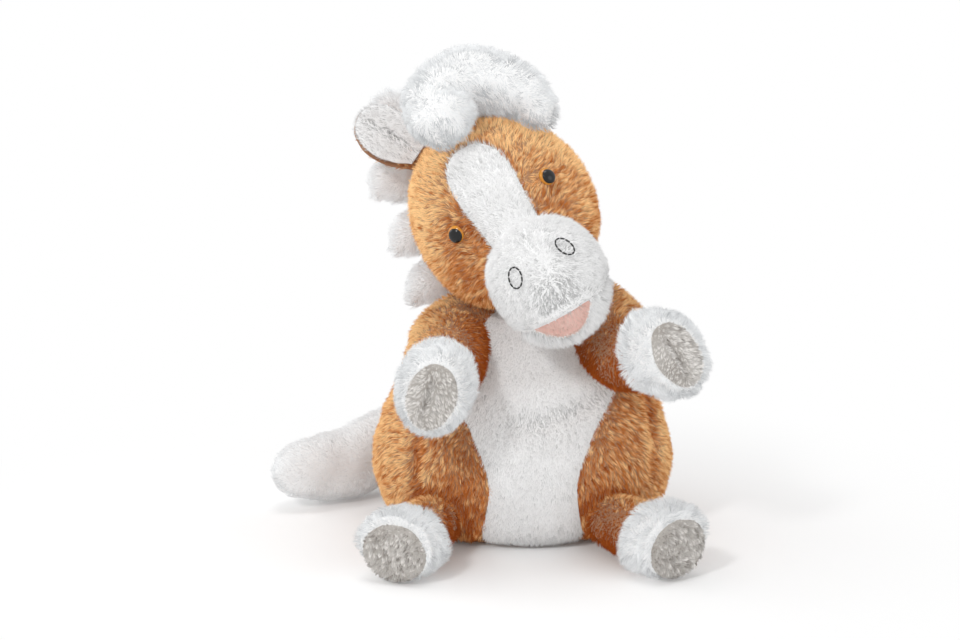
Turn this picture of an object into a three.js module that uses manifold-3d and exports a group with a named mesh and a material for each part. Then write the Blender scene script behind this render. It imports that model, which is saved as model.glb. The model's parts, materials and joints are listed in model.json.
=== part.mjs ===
// Horse hand puppet, sitting upright with its head tilted to its own right.
// Millimetres, +Z up. The face looks towards -Y, and the puppet's own left side is at +X.
// The origin is on the floor, under the middle of the puppet's bounding box.
//
// The torso is an open plush sleeve for a hand, and the head and the arms take fingers.
// The head, the hooves, the legs and the tail are stuffed. Every limb turns on a rounded root
// that lies in a matching hole in the torso.
import * as THREE from "three";
import { mergeVertices } from "three/addons/utils/BufferGeometryUtils.js";
import Module from "manifold-3d";

const wasm = await Module();
wasm.setup();

// Fits
const SEAM = 0.3; // gap between two pieces that are sewn or lie together
const ROOT_GAP = 0.9; // between a rounded root and the hole it turns in
const SWING_ROOM = 2.3; // room around a limb that swings
const SWING_STEP = 12; // degrees between the steps of a sweep
const FLOOR_GAP = 0.5; // between a foot or the tail and the floor
const FAR = 300; // reach of a cutting block or prism past the whole puppet
const OVERRUN = 1; // how far a cutting body runs past the face that it opens

// Facets around a form, and along it where it is a loft
const FACETS = { torso: 22, head: 20, muzzle: 16, limb: 12, hair: 12, tail: 12, socket: 16, button: 12 };
const RINGS = { torso: 10, head: 11, muzzle: 10, cuff: 7, tail: 10, forelock: 12, mane: 7 };

// Torso sleeve: half width, depth to the front and to the back, and sideways lean at each height
const TORSO = [
  { height: 0, width: 58, front: 46, back: 46, lean: 2 },
  { height: 9, width: 70, front: 55, back: 52, lean: 2 },
  { height: 24, width: 76, front: 60, back: 55, lean: 2 },
  { height: 42, width: 78, front: 62, back: 56, lean: 2 },
  { height: 60, width: 72.5, front: 59, back: 53, lean: 2 },
  { height: 82, width: 62.5, front: 50, back: 46, lean: 3 },
  { height: 97, width: 54, front: 40, back: 37.5, lean: 4.5 },
  { height: 107, width: 46, front: 33, back: 31, lean: 6 },
  { height: 115, width: 35, front: 27, back: 24, lean: 7.5 },
];
const PLUSH = 4; // thickness of the torso's plush, pile included
const HEM_HEIGHT = 5;
const HEM_DEPTH = 13; // how far the hem is turned in under the torso
const BELLY_MIDDLE = 6.5;
const BELLY = [
  { z: -10, half: 23 },
  { z: 38, half: 23 },
  { z: 62, half: 32 },
  { z: 86, half: 45 },
  { z: 108, half: 30 },
  { z: 140, half: 17 },
];

// Head, in its own frame: x to its left, y to its back, z to its crown
const HEAD = { side: 46.5, front: 48, back: 43, crown: 52, jaw: 43, fullness: 0.9 };
const HEAD_PLUSH = 3;
const NECK_BALL = 28;
const NECK_BORE = 17;
const NECK_RISE = 19.5; // middle of the neck above the top edge of the torso
const NECK_FORWARD = 2;
const NECK_ASIDE = 2.5; // middle of the neck beside the middle of the torso's top
const HEAD_FORWARD = 8; // from the middle of the neck to the middle of the head
const HEAD_RISE = 36;
const HEAD_TILT = -32;
const HEAD_YAW = 6;
const POCKET_RADIUS = 12.5; // finger pocket above the neck
const POCKET_WALL = 1.2;
const POCKET_DEPTH = 24;
const POCKET_ROUND = 6; // length of the pocket's rounded end
const MUZZLE = { side: 30, front: 37, back: 30, crown: 30, jaw: 35, fullness: 0 };
const MUZZLE_FORWARD = 50;
const MUZZLE_DROP = 30;
const MOUTH_MIDDLE = -4; // the mouth is sewn a little to the right
const MOUTH_HALF_WIDTH = 15;
const MOUTH_TOP = -45.5; // height of the upper lip and of the corners of the mouth
const MOUTH_LOWER = -57.5; // lowest point of the opening
const MOUTH_INSET = 2.5; // how far the lining lies behind the lips
const MOUTH_PLUSH = 2;
const BLAZE_DEPTH = 10; // the blaze ends this far in front of the middle of the head
const BLAZE_MIDDLE = -1.5;
const BLAZE = [
  { z: -25, half: 13 },
  { z: 0, half: 13.5 },
  { z: 19, half: 15.3 },
  { z: 31, half: 14.5 },
  { z: 38, half: 10 },
  { z: 41, half: 4 },
];

// Eyes, nostrils and ears
const EYE_SIDE = 25.7;
const EYE_HEIGHT = 9;
const EYE_RADIUS = 4.6;
const EYE_DOME = 2;
const PUPIL_RADIUS = 3.7;
const PUPIL_DOME = 1.1;
const EYE_STEM = 1.6;
const EYE_STEM_LENGTH = 9;
const EYE_FOOT = 0.4; // straight edge under an eye's dome
const WASHER_RADIUS = 5.5;
const WASHER_PLATE = 1.5;
const NOSTRIL_SIDE = 13.6;
const NOSTRIL_HEIGHT = -18;
const NOSTRIL_WIDTH = 3.8;
const NOSTRIL_TALL = 5.2;
const NOSTRIL_TILT = 2;
const THREAD_RADIUS = 0.55;
const EAR_SIDE = 20;
const EAR_BACK = 12;
const EAR_LENGTH = 38;
const EAR_WIDTH = 13.5;
const EAR_PLUSH = 2.4;
const EAR_LINING = 1.8;
const EAR_CUP = 5;
const EAR_ROOT = 6.5;
const EAR_EDGE = 2.5; // the outer shows this far past the lining to each side
const EAR_TIP = 4; // and this far at the tip
// How far each ear points to its side and leans back, in degrees, and how far it flops
const EARS = {
  right: { sign: -1, splay: 24, lean: 0, flop: [-4, 30] },
  left: { sign: 1, splay: 38, lean: 34, flop: [-25, 4] },
};

// White hair, in the head's frame
const FORELOCK = [
  { x: 3, y: -37, z: 49, r: 4 },
  { x: 2, y: -34, z: 54.5, r: 13.5 },
  { x: -2, y: -27, z: 61, r: 16.5 },
  { x: 2, y: -16, z: 66, r: 18 },
  { x: 17, y: -9, z: 67, r: 18 },
  { x: 30, y: -9, z: 58, r: 16.5 },
  { x: 39, y: -14, z: 45, r: 14 },
  { x: 41, y: -20, z: 34, r: 10 },
  { x: 41, y: -22, z: 28, r: 3 },
];
const MANE_ROOT_BACK = 6; // from the skin to the middle of a lock at its root
const MANE_START = 8; // how far a lock starts to the left of the middle of the head
const MANE_BULGE = 3; // how far a lock bows back between its root and its tip
const MANE_CURL = { forward: 4, down: 2 }; // how its end turns in
const MANE = [
  { root: 47, tip: 71, length: 26, back: 30, thick: 11, tall: 11.5 },
  { root: 24.5, tip: 41, length: 50, back: 34, thick: 11.5, tall: 12 },
  { root: 0, tip: 12, length: 56, back: 30, thick: 11.5, tall: 12 },
  { root: -24.5, tip: -14, length: 63, back: 26, thick: 11.5, tall: 12 },
];

// Limbs, each along its own z from its root to its sole. x runs across the sole and y along it
const ARM = {
  root: 20, sleeve: 20, wrist: 18, plush: 3, sleeveLength: 38, length: 62,
  cuffWidth: 19.5, cuffHeight: 24, cuffRound: 5, soleWidth: 11.5, soleHeight: 17.5, solePlush: 3,
};
const LEG = {
  root: 13.5, sleeve: 15, wrist: 14.5, plush: 3, sleeveLength: 27, length: 50,
  cuffWidth: 22, cuffHeight: 17, cuffRound: 5, soleWidth: 16, soleHeight: 12.5, solePlush: 3,
};
// How far a cuff starts over the wrist, and falls short of its full width near its two ends
const CUFF_EASE = { wrist: 1, start: 1.3, end: 2 };
const FILLING_EASE = { side: 2, sole: 0.5 }; // a cuff's filling off the plush, and past the sole's edge
const ARM_HEIGHT = 100;
const ARM_AROUND = 50;
const LEG_AROUND = 41;
const LIMB_STAND_OFF = 7; // middle of a root outside the torso's surface
const RIGHT_ARM = { heading: -8, pitch: -9, twist: -17 };
const LEFT_ARM = { heading: 29, pitch: 9, twist: 33 };
const RIGHT_LEG = { heading: -20, pitch: 3, twist: -8 };
const LEFT_LEG = { heading: 32, pitch: 3, twist: 22 };
const ARM_AXIS_LEAN = 35; // an arm swings outwards and up, about an axis that leans this far
const ARM_SWING = [-14, 35];
const LEG_SWING = [-25, 30];
const TAIL_ROOT = 12;
const TAIL_PLUSH = 2.5;
const TAIL_SWING = [-40, 6];
const TAIL = [
  { heading: 180, standOff: 6, height: 46, r: TAIL_ROOT },
  { heading: 184, standOff: 18, height: 46, r: 13 },
  { heading: 198, standOff: 25, height: 43, r: 15.5 },
  { heading: 222, standOff: 27, height: 32, r: 19 },
  { heading: 243, standOff: 33, height: 20.5, r: 20 },
  { heading: 256, standOff: 45, height: 20.5, r: 17 },
  { heading: 261, standOff: 53, height: 21, r: 11 },
  { heading: 262.5, standOff: 57, height: 21, r: 3 },
];

// Colours and finish
const plush = (color) => new THREE.MeshStandardMaterial({ color, roughness: 0.95, metalness: 0 });
const CHESTNUT = plush(0xb87a45);
const WHITE = plush(0xebebea);
const GREY = plush(0xa39b94);
const PINK = plush(0xe0b6ab);
const FILLING = plush(0xf4f4f2);
const LINING = plush(0xe6e2da);
const THREAD = new THREE.MeshStandardMaterial({ color: 0x2b2b2d, roughness: 0.7, metalness: 0 });
const IRIS = new THREE.MeshStandardMaterial({ color: 0xc9831f, roughness: 0.15, metalness: 0 });
const PUPIL = new THREE.MeshStandardMaterial({ color: 0x0b0b0c, roughness: 0.08, metalness: 0 });
const WASHER = new THREE.MeshStandardMaterial({ color: 0xd9d9d6, roughness: 0.5, metalness: 0 });

const radians = THREE.MathUtils.degToRad;
const vector = (x, y, z) => new THREE.Vector3(x, y, z);

// Solids from geometry, and back
function solidOf(geometry) {
  const bare = geometry.clone();
  bare.deleteAttribute("normal");
  bare.deleteAttribute("uv");
  const merged = mergeVertices(bare, 1e-4);
  const kept = [];
  const index = merged.index.array;
  for (let i = 0; i < index.length; i += 3) {
    const [a, b, c] = [index[i], index[i + 1], index[i + 2]];
    if (a !== b && b !== c && c !== a) kept.push(a, b, c);
  }
  return new wasm.Manifold(new wasm.Mesh({
    numProp: 3,
    vertProperties: new Float32Array(merged.attributes.position.array),
    triVerts: new Uint32Array(kept),
  }));
}

function geometryOf(solid) {
  const mesh = solid.getMesh();
  const geometry = new THREE.BufferGeometry();
  geometry.setAttribute("position", new THREE.BufferAttribute(mesh.vertProperties, 3));
  geometry.setIndex(new THREE.BufferAttribute(mesh.triVerts, 1));
  geometry.computeVertexNormals();
  return geometry;
}

function piece(name, solid, material, parent) {
  const mesh = new THREE.Mesh(geometryOf(solid), material);
  mesh.name = name;
  parent.add(mesh);
}

function frameGroup(matrix, parent) {
  const group = new THREE.Group();
  group.applyMatrix4(matrix);
  parent.add(group);
  return group;
}

const moved = (solid, matrix) => solidOf(geometryOf(solid).applyMatrix4(matrix));
const joined = (solids) => solids.reduce((all, next) => all.add(next));
const cutBy = (solid, cutters) => cutters.reduce((left, cutter) => left.subtract(cutter), solid);

// A closed skin over rings that all hold the same number of points
function skin(rings) {
  const points = rings.flat();
  const count = rings[0].length;
  const middle = (ring) => ring.reduce((sum, p) => sum.add(p), vector(0, 0, 0)).divideScalar(count);
  const faces = [];
  for (let r = 0; r + 1 < rings.length; r++) {
    for (let i = 0; i < count; i++) {
      const a = r * count + i;
      const b = r * count + ((i + 1) % count);
      faces.push(a, b, a + count, b, b + count, a + count);
    }
  }
  const first = points.push(middle(rings[0])) - 1;
  const last = points.push(middle(rings.at(-1))) - 1;
  const top = (rings.length - 1) * count;
  for (let i = 0; i < count; i++) {
    const j = (i + 1) % count;
    faces.push(first, j, i, last, top + i, top + j);
  }
  const geometry = new THREE.BufferGeometry().setFromPoints(points);
  geometry.setIndex(faces);
  return solidOf(geometry);
}

// A smooth run through stations, which are objects of numbers with the same keys
function smooth(stations, steps) {
  const keys = Object.keys(stations[0]);
  const curve = (key) => new THREE.SplineCurve(stations.map((s, i) => new THREE.Vector2(i, s[key])));
  const curves = keys.map(curve);
  return Array.from({ length: steps + 1 }, (_, n) =>
    Object.fromEntries(keys.map((key, k) => [key, curves[k].getPoint(n / steps).y])));
}

const aroundRing = (count, at) => Array.from({ length: count }, (_, i) => at((2 * Math.PI * i) / count));

// A body of oval sections along z, from stations {z, a, b}
function ovalLoft(stations, count) {
  return skin(stations.map(({ z, a, b }) =>
    aroundRing(count, (t) => vector(a * Math.cos(t), b * Math.sin(t), z))));
}

// A body of oval sections along a curve, from stations {x, y, z, a, b}: a level and b upright
function curvedLoft(stations, count) {
  const places = stations.map(({ x, y, z }) => vector(x, y, z));
  return skin(stations.map(({ a, b }, i) => {
    const next = places[Math.min(i + 1, places.length - 1)];
    const along = next.clone().sub(places[Math.max(i - 1, 0)]).normalize();
    const level = vector(0, 0, 1).cross(along).normalize();
    const upright = along.clone().cross(level);
    return aroundRing(count, (t) =>
      places[i].clone().addScaledVector(level, a * Math.cos(t)).addScaledVector(upright, b * Math.sin(t)));
  }));
}

// An egg with a radius of its own to each side of its middle. Fullness squares its lower half
function egg({ side, front, back, crown, jaw, fullness }, grow, across, down) {
  const geometry = new THREE.SphereGeometry(1, across, down).rotateX(Math.PI / 2);
  const p = geometry.attributes.position;
  for (let i = 0; i < p.count; i++) {
    const [x, y, z] = [p.getX(i), p.getY(i), p.getZ(i)];
    const power = 2 + fullness * Math.max(0, -z);
    const sum = Math.abs(x) ** power + Math.abs(y) ** power + Math.abs(z) ** power;
    const reach = sum ** (-1 / power);
    const depth = y < 0 ? front : back;
    const height = z < 0 ? jaw : crown;
    p.setXYZ(i, x * reach * (side + grow), y * reach * (depth + grow), z * reach * (height + grow));
  }
  return solidOf(geometry);
}

// A point on the front of an egg, and the way out of its surface there
function onEgg({ side, front, crown, jaw }, x, z) {
  const height = z < 0 ? jaw : crown;
  const y = -front * Math.sqrt(1 - (x / side) ** 2 - (z / height) ** 2);
  return { place: vector(x, y, z), out: vector(x / side ** 2, y / front ** 2, z / height ** 2).normalize() };
}

function ball(radius, place, across = FACETS.socket) {
  const geometry = new THREE.SphereGeometry(radius, across, across / 2).rotateX(Math.PI / 2);
  return solidOf(geometry.translate(place.x, place.y, place.z));
}

function block(low, high) {
  const size = high.clone().sub(low);
  const middle = high.clone().add(low).divideScalar(2);
  return solidOf(new THREE.BoxGeometry(size.x, size.y, size.z).translate(middle.x, middle.y, middle.z));
}

function rod(radius, z0, z1, sides = FACETS.button) {
  const geometry = new THREE.CylinderGeometry(radius, radius, z1 - z0, sides).rotateX(Math.PI / 2);
  return solidOf(geometry.translate(0, 0, (z0 + z1) / 2));
}

// A prism through everything from y0 to y1, of an outline in the front view
function frontPrism(outline, y0, y1) {
  const shape = new THREE.Shape(outline);
  const geometry = new THREE.ExtrudeGeometry(shape, { depth: y1 - y0, bevelEnabled: false });
  return solidOf(geometry.rotateX(Math.PI / 2).translate(0, y1, 0));
}

// A panel's outline, alike to both sides of its middle, from stations {z, half}
function panelOutline(stations, middle, grow, steps) {
  const run = smooth(stations, steps);
  const left = run.map(({ z, half }) => new THREE.Vector2(middle - half - grow, z));
  const right = run.map(({ z, half }) => new THREE.Vector2(middle + half + grow, z)).reverse();
  return [...left, ...right];
}

// The room that a solid needs while it turns about an axis through a point
function sweep(solid, pivot, axis, [low, high]) {
  const steps = Math.ceil((high - low) / SWING_STEP);
  const home = new THREE.Matrix4().makeTranslation(pivot.clone().negate());
  return joined(Array.from({ length: steps + 1 }, (_, n) => {
    const angle = radians(low + ((high - low) * n) / steps);
    const turn = new THREE.Matrix4().makeRotationAxis(axis, angle).multiply(home);
    return moved(solid, new THREE.Matrix4().makeTranslation(pivot).multiply(turn));
  }));
}

// Directions: heading 0 looks along -Y and 90 along +X
function towards(heading, pitch) {
  const level = Math.cos(radians(pitch));
  const [across, ahead] = [Math.sin(radians(heading)), -Math.cos(radians(heading))];
  return vector(across * level, ahead * level, Math.sin(radians(pitch)));
}

// A frame with z along a direction and y as near upright as that allows, then twisted about z
function aimed(place, direction, twist) {
  const across = vector(0, 0, 1).cross(direction).normalize();
  const frame = new THREE.Matrix4().makeBasis(across, direction.clone().cross(across), direction);
  return frame.setPosition(place).multiply(new THREE.Matrix4().makeRotationZ(radians(twist)));
}

// The torso's section at a height, and a place that stands off its surface
const torsoRun = smooth(TORSO, RINGS.torso);
const torsoTop = TORSO.at(-1);
function torsoAt(height) {
  const over = torsoRun.findIndex((s) => s.height >= height);
  const b = torsoRun[Math.max(over, 1)];
  const a = torsoRun[Math.max(over, 1) - 1];
  const t = (height - a.height) / (b.height - a.height);
  const mix = (key) => THREE.MathUtils.lerp(a[key], b[key], t);
  return { width: mix("width"), front: mix("front"), back: mix("back"), lean: mix("lean") };
}

function offTorso(height, heading, standOff) {
  const { width, front, back, lean } = torsoAt(height);
  const way = towards(heading, 0);
  const reach = 1 / Math.hypot(way.x / width, way.y / (way.y < 0 ? front : back)) + standOff;
  return vector(lean + way.x * reach, way.y * reach, height);
}

function torsoSkin(inset, low, high) {
  const between = torsoRun.map((s) => s.height).filter((z) => z > low + 1 && z < high - 1);
  return skin([low, ...between, high].map((z) => {
    const { width, front, back, lean } = torsoAt(z);
    return aroundRing(FACETS.torso, (t) => {
      const depth = Math.sin(t) < 0 ? front : back;
      return vector(lean + (width - inset) * Math.cos(t), (depth - inset) * Math.sin(t), z);
    });
  }));
}

// Limbs: a sleeve on a round root, a swollen cuff round a stuffed end, and a sole
const narrower = (run, by) => run.map((s) => ({ ...s, a: s.a - by, b: s.b - by }));
const openEnded = (run) =>
  [{ ...run[0], z: run[0].z - OVERRUN }, ...run, { ...run.at(-1), z: run.at(-1).z + OVERRUN }];

function sleeveRun(limb) {
  const rootRing = (depth) => {
    const r = Math.sqrt(limb.root ** 2 - depth ** 2);
    return { z: -depth, a: r, b: r };
  };
  const free = smooth([
    { z: 0, a: limb.root, b: limb.root },
    { z: limb.sleeveLength / 2, a: limb.sleeve, b: limb.sleeve },
    { z: limb.sleeveLength, a: limb.wrist, b: limb.wrist },
  ], 3);
  return [rootRing(limb.root * 0.6), rootRing(limb.root * 0.32), ...free];
}

function cuffRun(limb) {
  const from = limb.sleeveLength + SEAM;
  const to = limb.length - limb.solePlush / 2;
  return smooth([
    { z: from, a: limb.wrist + CUFF_EASE.wrist, b: limb.wrist + CUFF_EASE.wrist },
    { z: from + limb.cuffRound, a: limb.cuffWidth - CUFF_EASE.start, b: limb.cuffHeight - CUFF_EASE.start },
    { z: (from + to) / 2, a: limb.cuffWidth, b: limb.cuffHeight },
    { z: to - limb.cuffRound, a: limb.cuffWidth - CUFF_EASE.end, b: limb.cuffHeight - CUFF_EASE.end },
    { z: to, a: limb.soleWidth + limb.plush, b: limb.soleHeight + limb.plush },
  ], RINGS.cuff);
}

function cuffRoom(limb, gap) {
  const from = limb.sleeveLength + SEAM;
  const soleFrom = limb.length - limb.solePlush - SEAM - gap;
  const mouth = { a: limb.wrist - limb.plush, b: limb.wrist - limb.plush };
  const wide = {
    a: limb.cuffWidth - limb.plush - FILLING_EASE.side,
    b: limb.cuffHeight - limb.plush - FILLING_EASE.side - SEAM,
  };
  return narrower([
    { z: from - OVERRUN, ...mouth },
    { z: from, ...mouth },
    { z: from + limb.cuffRound, ...wide },
    { z: soleFrom - limb.cuffRound, ...wide },
    { z: soleFrom, a: limb.soleWidth + FILLING_EASE.sole, b: limb.soleHeight + FILLING_EASE.sole },
  ], gap);
}

function soleOf(limb, gap) {
  const from = limb.length - limb.solePlush - gap;
  const [a, b] = [limb.soleWidth + gap, limb.soleHeight + gap];
  const rim = { z: limb.length - limb.solePlush / 3 + gap, a, b };
  const crown = { z: limb.length + 3 * gap, a: a * 0.75, b: b * 0.75 };
  return ovalLoft([{ z: from, a, b }, rim, crown], FACETS.limb);
}

// The room that a sleeve swings in: a funnel that opens by the swing to each side of the sleeve
function swingRoom(limb, root, direction, axis, [low, high]) {
  const upright = axis.clone().addScaledVector(direction, -axis.dot(direction)).normalize();
  const frame = new THREE.Matrix4().makeBasis(upright.clone().cross(direction), upright, direction);
  const r = Math.max(limb.root, limb.sleeve, limb.wrist) + SWING_ROOM;
  const reach = (z, angle) => r / Math.cos(radians(angle)) + z * Math.tan(radians(Math.abs(angle)));
  const funnel = skin([-limb.root / 2, limb.sleeveLength].map((z) => aroundRing(FACETS.limb, (t) => {
    const angle = Math.cos(t) < 0 ? low : high;
    return vector(reach(z, angle) * Math.cos(t), r * Math.sin(t), z);
  })));
  return moved(funnel, frame.setPosition(root)).add(ball(limb.root + ROOT_GAP, root));
}

function addLimb(name, limb, frame, stuffedSleeve, parent) {
  const group = frameGroup(frame, parent);
  const sleeve = sleeveRun(limb);
  const soleSeat = soleOf(limb, SEAM);
  piece(`${name}_sleeve`,
    ovalLoft(sleeve, FACETS.limb).subtract(ovalLoft(openEnded(narrower(sleeve, limb.plush)), FACETS.limb)),
    CHESTNUT, group);
  piece(`${name}_cuff`,
    cutBy(ovalLoft(cuffRun(limb), FACETS.limb), [ovalLoft(cuffRoom(limb, 0), FACETS.limb), soleSeat]),
    WHITE, group);
  piece(`${name}_sole`, soleOf(limb, 0), GREY, group);
  const inCuff = cuffRoom(limb, SEAM);
  const inSleeve = narrower(sleeve, limb.plush + SEAM).slice(1, -1);
  const stuffed = stuffedSleeve ? [...inSleeve, ...inCuff] : inCuff;
  piece(`${name}_filling`, ovalLoft(stuffed, FACETS.limb), FILLING, group);
}

// Where everything turns
function legHeight({ pitch, twist }) {
  const [across, upright] = [Math.sin(radians(twist)), Math.cos(radians(twist))];
  const cuff = Math.hypot(LEG.cuffWidth * across, LEG.cuffHeight * upright);
  const widest = (LEG.sleeveLength + LEG.length) / 2;
  return cuff + FLOOR_GAP - widest * Math.sin(radians(pitch));
}

const limbs = {
  arm_right: { limb: ARM, aim: RIGHT_ARM, root: offTorso(ARM_HEIGHT, -ARM_AROUND, LIMB_STAND_OFF) },
  arm_left: { limb: ARM, aim: LEFT_ARM, root: offTorso(ARM_HEIGHT, ARM_AROUND, LIMB_STAND_OFF) },
  leg_right: { limb: LEG, aim: RIGHT_LEG, root: offTorso(legHeight(RIGHT_LEG), -LEG_AROUND, LIMB_STAND_OFF) },
  leg_left: { limb: LEG, aim: LEFT_LEG, root: offTorso(legHeight(LEFT_LEG), LEG_AROUND, LIMB_STAND_OFF) },
};
const armLean = [Math.sin(radians(ARM_AXIS_LEAN)), Math.cos(radians(ARM_AXIS_LEAN))];
const swings = {
  arm_right: { axis: vector(-armLean[0], 0, -armLean[1]), range: ARM_SWING },
  arm_left: { axis: vector(-armLean[0], 0, armLean[1]), range: ARM_SWING },
  leg_right: { axis: towards(RIGHT_LEG.heading - 90, 0), range: LEG_SWING },
  leg_left: { axis: towards(LEFT_LEG.heading - 90, 0), range: LEG_SWING },
};
const tailRoot = offTorso(TAIL[0].height, TAIL[0].heading, TAIL[0].standOff);
const tailStub = { root: TAIL_ROOT, sleeve: TAIL[1].r, wrist: TAIL[1].r, sleeveLength: TAIL[1].standOff };
const neckMiddle = vector(torsoTop.lean + NECK_ASIDE, -NECK_FORWARD, torsoTop.height + NECK_RISE);
const toy = new THREE.Group();

function addTorso() {
  const wall = torsoSkin(0, HEM_HEIGHT + SEAM, torsoTop.height)
    .subtract(torsoSkin(PLUSH, HEM_HEIGHT - OVERRUN, torsoTop.height - PLUSH));
  const roots = Object.entries(limbs).map(([name, { limb, aim, root }]) =>
    swingRoom(limb, root, towards(aim.heading, aim.pitch), swings[name].axis, swings[name].range));
  const tailHole = swingRoom(tailStub, tailRoot, towards(TAIL[0].heading, 0), vector(0, 0, 1), TAIL_SWING);
  const holes = [...roots, ball(NECK_BALL + ROOT_GAP, neckMiddle), tailHole];
  const shell = cutBy(wall, holes);
  const bellyPrism = (grow) => frontPrism(panelOutline(BELLY, BELLY_MIDDLE, grow, 10), -FAR, 0);
  const sides = shell.subtract(bellyPrism(SEAM));
  const side = (from, to) => sides.intersect(block(vector(from, -FAR, -FAR), vector(to, FAR, FAR)));
  const seam = TORSO[0].lean;
  piece("belly_panel", shell.intersect(bellyPrism(0)), WHITE, toy);
  piece("side_panel_right", side(-FAR, seam - SEAM / 2), CHESTNUT, toy);
  piece("side_panel_left", side(seam + SEAM / 2, FAR), CHESTNUT, toy);
  piece("opening_hem",
    torsoSkin(0, 0, HEM_HEIGHT).subtract(torsoSkin(HEM_DEPTH, -OVERRUN, HEM_HEIGHT + OVERRUN)),
    CHESTNUT, toy);
}

function addTail() {
  const out = towards(TAIL[0].heading, 0);
  const rootRing = (depth) => {
    const place = tailRoot.clone().addScaledVector(out, -depth);
    const r = Math.sqrt(TAIL_ROOT ** 2 - depth ** 2);
    return { x: place.x, y: place.y, z: place.z, a: r, b: r };
  };
  const free = smooth(TAIL, RINGS.tail).map(({ heading, standOff, height, r }) => {
    const { x, y, z } = offTorso(height, heading, standOff);
    return { x, y, z, a: r, b: r };
  });
  const stations = [rootRing(TAIL_ROOT * 0.6), rootRing(TAIL_ROOT * 0.32), ...free];
  const inside = (gap) => narrower(stations.slice(0, -1), TAIL_PLUSH + gap);
  const mouth = { ...inside(0)[0], y: 2 * stations[0].y - stations[1].y };
  const group = frameGroup(new THREE.Matrix4(), toy);
  piece("tail_cover",
    curvedLoft(stations, FACETS.tail).subtract(curvedLoft([mouth, ...inside(0)], FACETS.tail)),
    WHITE, group);
  piece("tail_filling", curvedLoft(inside(3 * SEAM), FACETS.tail), FILLING, group);
}

// The neck and the head
const headTurn = new THREE.Euler(0, radians(HEAD_TILT), radians(HEAD_YAW), "YZX");
const neckFrame = new THREE.Matrix4().makeRotationFromEuler(headTurn).setPosition(neckMiddle);
const neckGroup = frameGroup(neckFrame, toy);
const headGroup = frameGroup(new THREE.Matrix4().makeTranslation(0, -HEAD_FORWARD, HEAD_RISE), neckGroup);
const neckInHead = vector(0, HEAD_FORWARD, -HEAD_RISE);
const bothSides = [["right", -1], ["left", 1]];

const toMuzzle = new THREE.Matrix4().makeTranslation(0, -MUZZLE_FORWARD, -MUZZLE_DROP);
const muzzleEgg = (grow) => moved(egg(MUZZLE, grow, FACETS.muzzle, RINGS.muzzle), toMuzzle);
const pocketSolid = (grow, low = 0) => {
  const end = NECK_BALL + POCKET_DEPTH + grow;
  const r = POCKET_RADIUS + grow;
  const run = [
    { z: low, a: r, b: r },
    { z: end - POCKET_ROUND, a: r, b: r },
    { z: end - POCKET_ROUND / 3, a: r * 0.8, b: r * 0.8 },
    { z: end, a: r * 0.4, b: r * 0.4 },
  ];
  return moved(ovalLoft(run, FACETS.limb), new THREE.Matrix4().makeTranslation(neckInHead));
};

function eyeFrame(sign) {
  const { place, out } = onEgg(HEAD, sign * EYE_SIDE, EYE_HEIGHT);
  return aimed(place, out, 0);
}

function earFrame({ sign, splay, lean }) {
  const height = HEAD.crown * Math.sqrt(1 - (EAR_SIDE / HEAD.side) ** 2 - (EAR_BACK / HEAD.back) ** 2);
  const frame = new THREE.Matrix4().makeTranslation(sign * EAR_SIDE, EAR_BACK, height);
  frame.multiply(new THREE.Matrix4().makeRotationY(radians(sign * splay)));
  return frame.multiply(new THREE.Matrix4().makeRotationX(radians(-lean)));
}

// A cupped leaf along z: its edges come forward, and it lies between two depths
function earLeaf(from, to, width, front, back) {
  const run = smooth([
    { t: 0, half: 0.5 },
    { t: 0.25, half: 0.84 },
    { t: 0.5, half: 1 },
    { t: 0.75, half: 0.92 },
    { t: 0.93, half: 0.55 },
    { t: 1, half: 0.14 },
  ], 7);
  const strip = [-1, -0.6, 0, 0.6, 1];
  return skin(run.map(({ t, half }) => {
    const z = THREE.MathUtils.lerp(from, to, t);
    const at = (share, y) => vector(share * half * width, y - EAR_CUP * (share * half) ** 2, z);
    return [...strip.map((s) => at(s, front)), ...strip.toReversed().map((s) => at(s, back))];
  }));
}

function earSolids() {
  const leaf = earLeaf(EAR_ROOT * 0.4, EAR_LENGTH, EAR_WIDTH, 0, EAR_PLUSH);
  const outer = leaf.add(ball(EAR_ROOT, vector(0, 0, 0), 10));
  const lining = earLeaf(
    EAR_ROOT + SEAM, EAR_LENGTH - EAR_TIP, EAR_WIDTH - EAR_EDGE, -EAR_LINING - SEAM, -SEAM);
  return { outer, lining: lining.subtract(ball(EAR_ROOT + SEAM, vector(0, 0, 0), 14)) };
}

function addEars(parent) {
  for (const [name, ear] of Object.entries(EARS)) {
    const group = frameGroup(earFrame(ear), parent);
    const { outer, lining } = earSolids();
    piece(`ear_${name}_outer`, outer, CHESTNUT, group);
    piece(`ear_${name}_lining`, lining, WHITE, group);
  }
}

// What an ear sweeps over, in the head's frame
function earRoom(ear) {
  const frame = earFrame(ear);
  const leaf = earLeaf(
    0, EAR_LENGTH + ROOT_GAP, EAR_WIDTH + ROOT_GAP, -EAR_LINING - SEAM - ROOT_GAP, EAR_PLUSH + ROOT_GAP);
  const whole = leaf.add(ball(EAR_ROOT + ROOT_GAP, vector(0, 0, 0), 14));
  const axis = vector(1, 0, 0).transformDirection(frame);
  return sweep(moved(whole, frame), vector(0, 0, 0).applyMatrix4(frame), axis, ear.flop);
}

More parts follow.
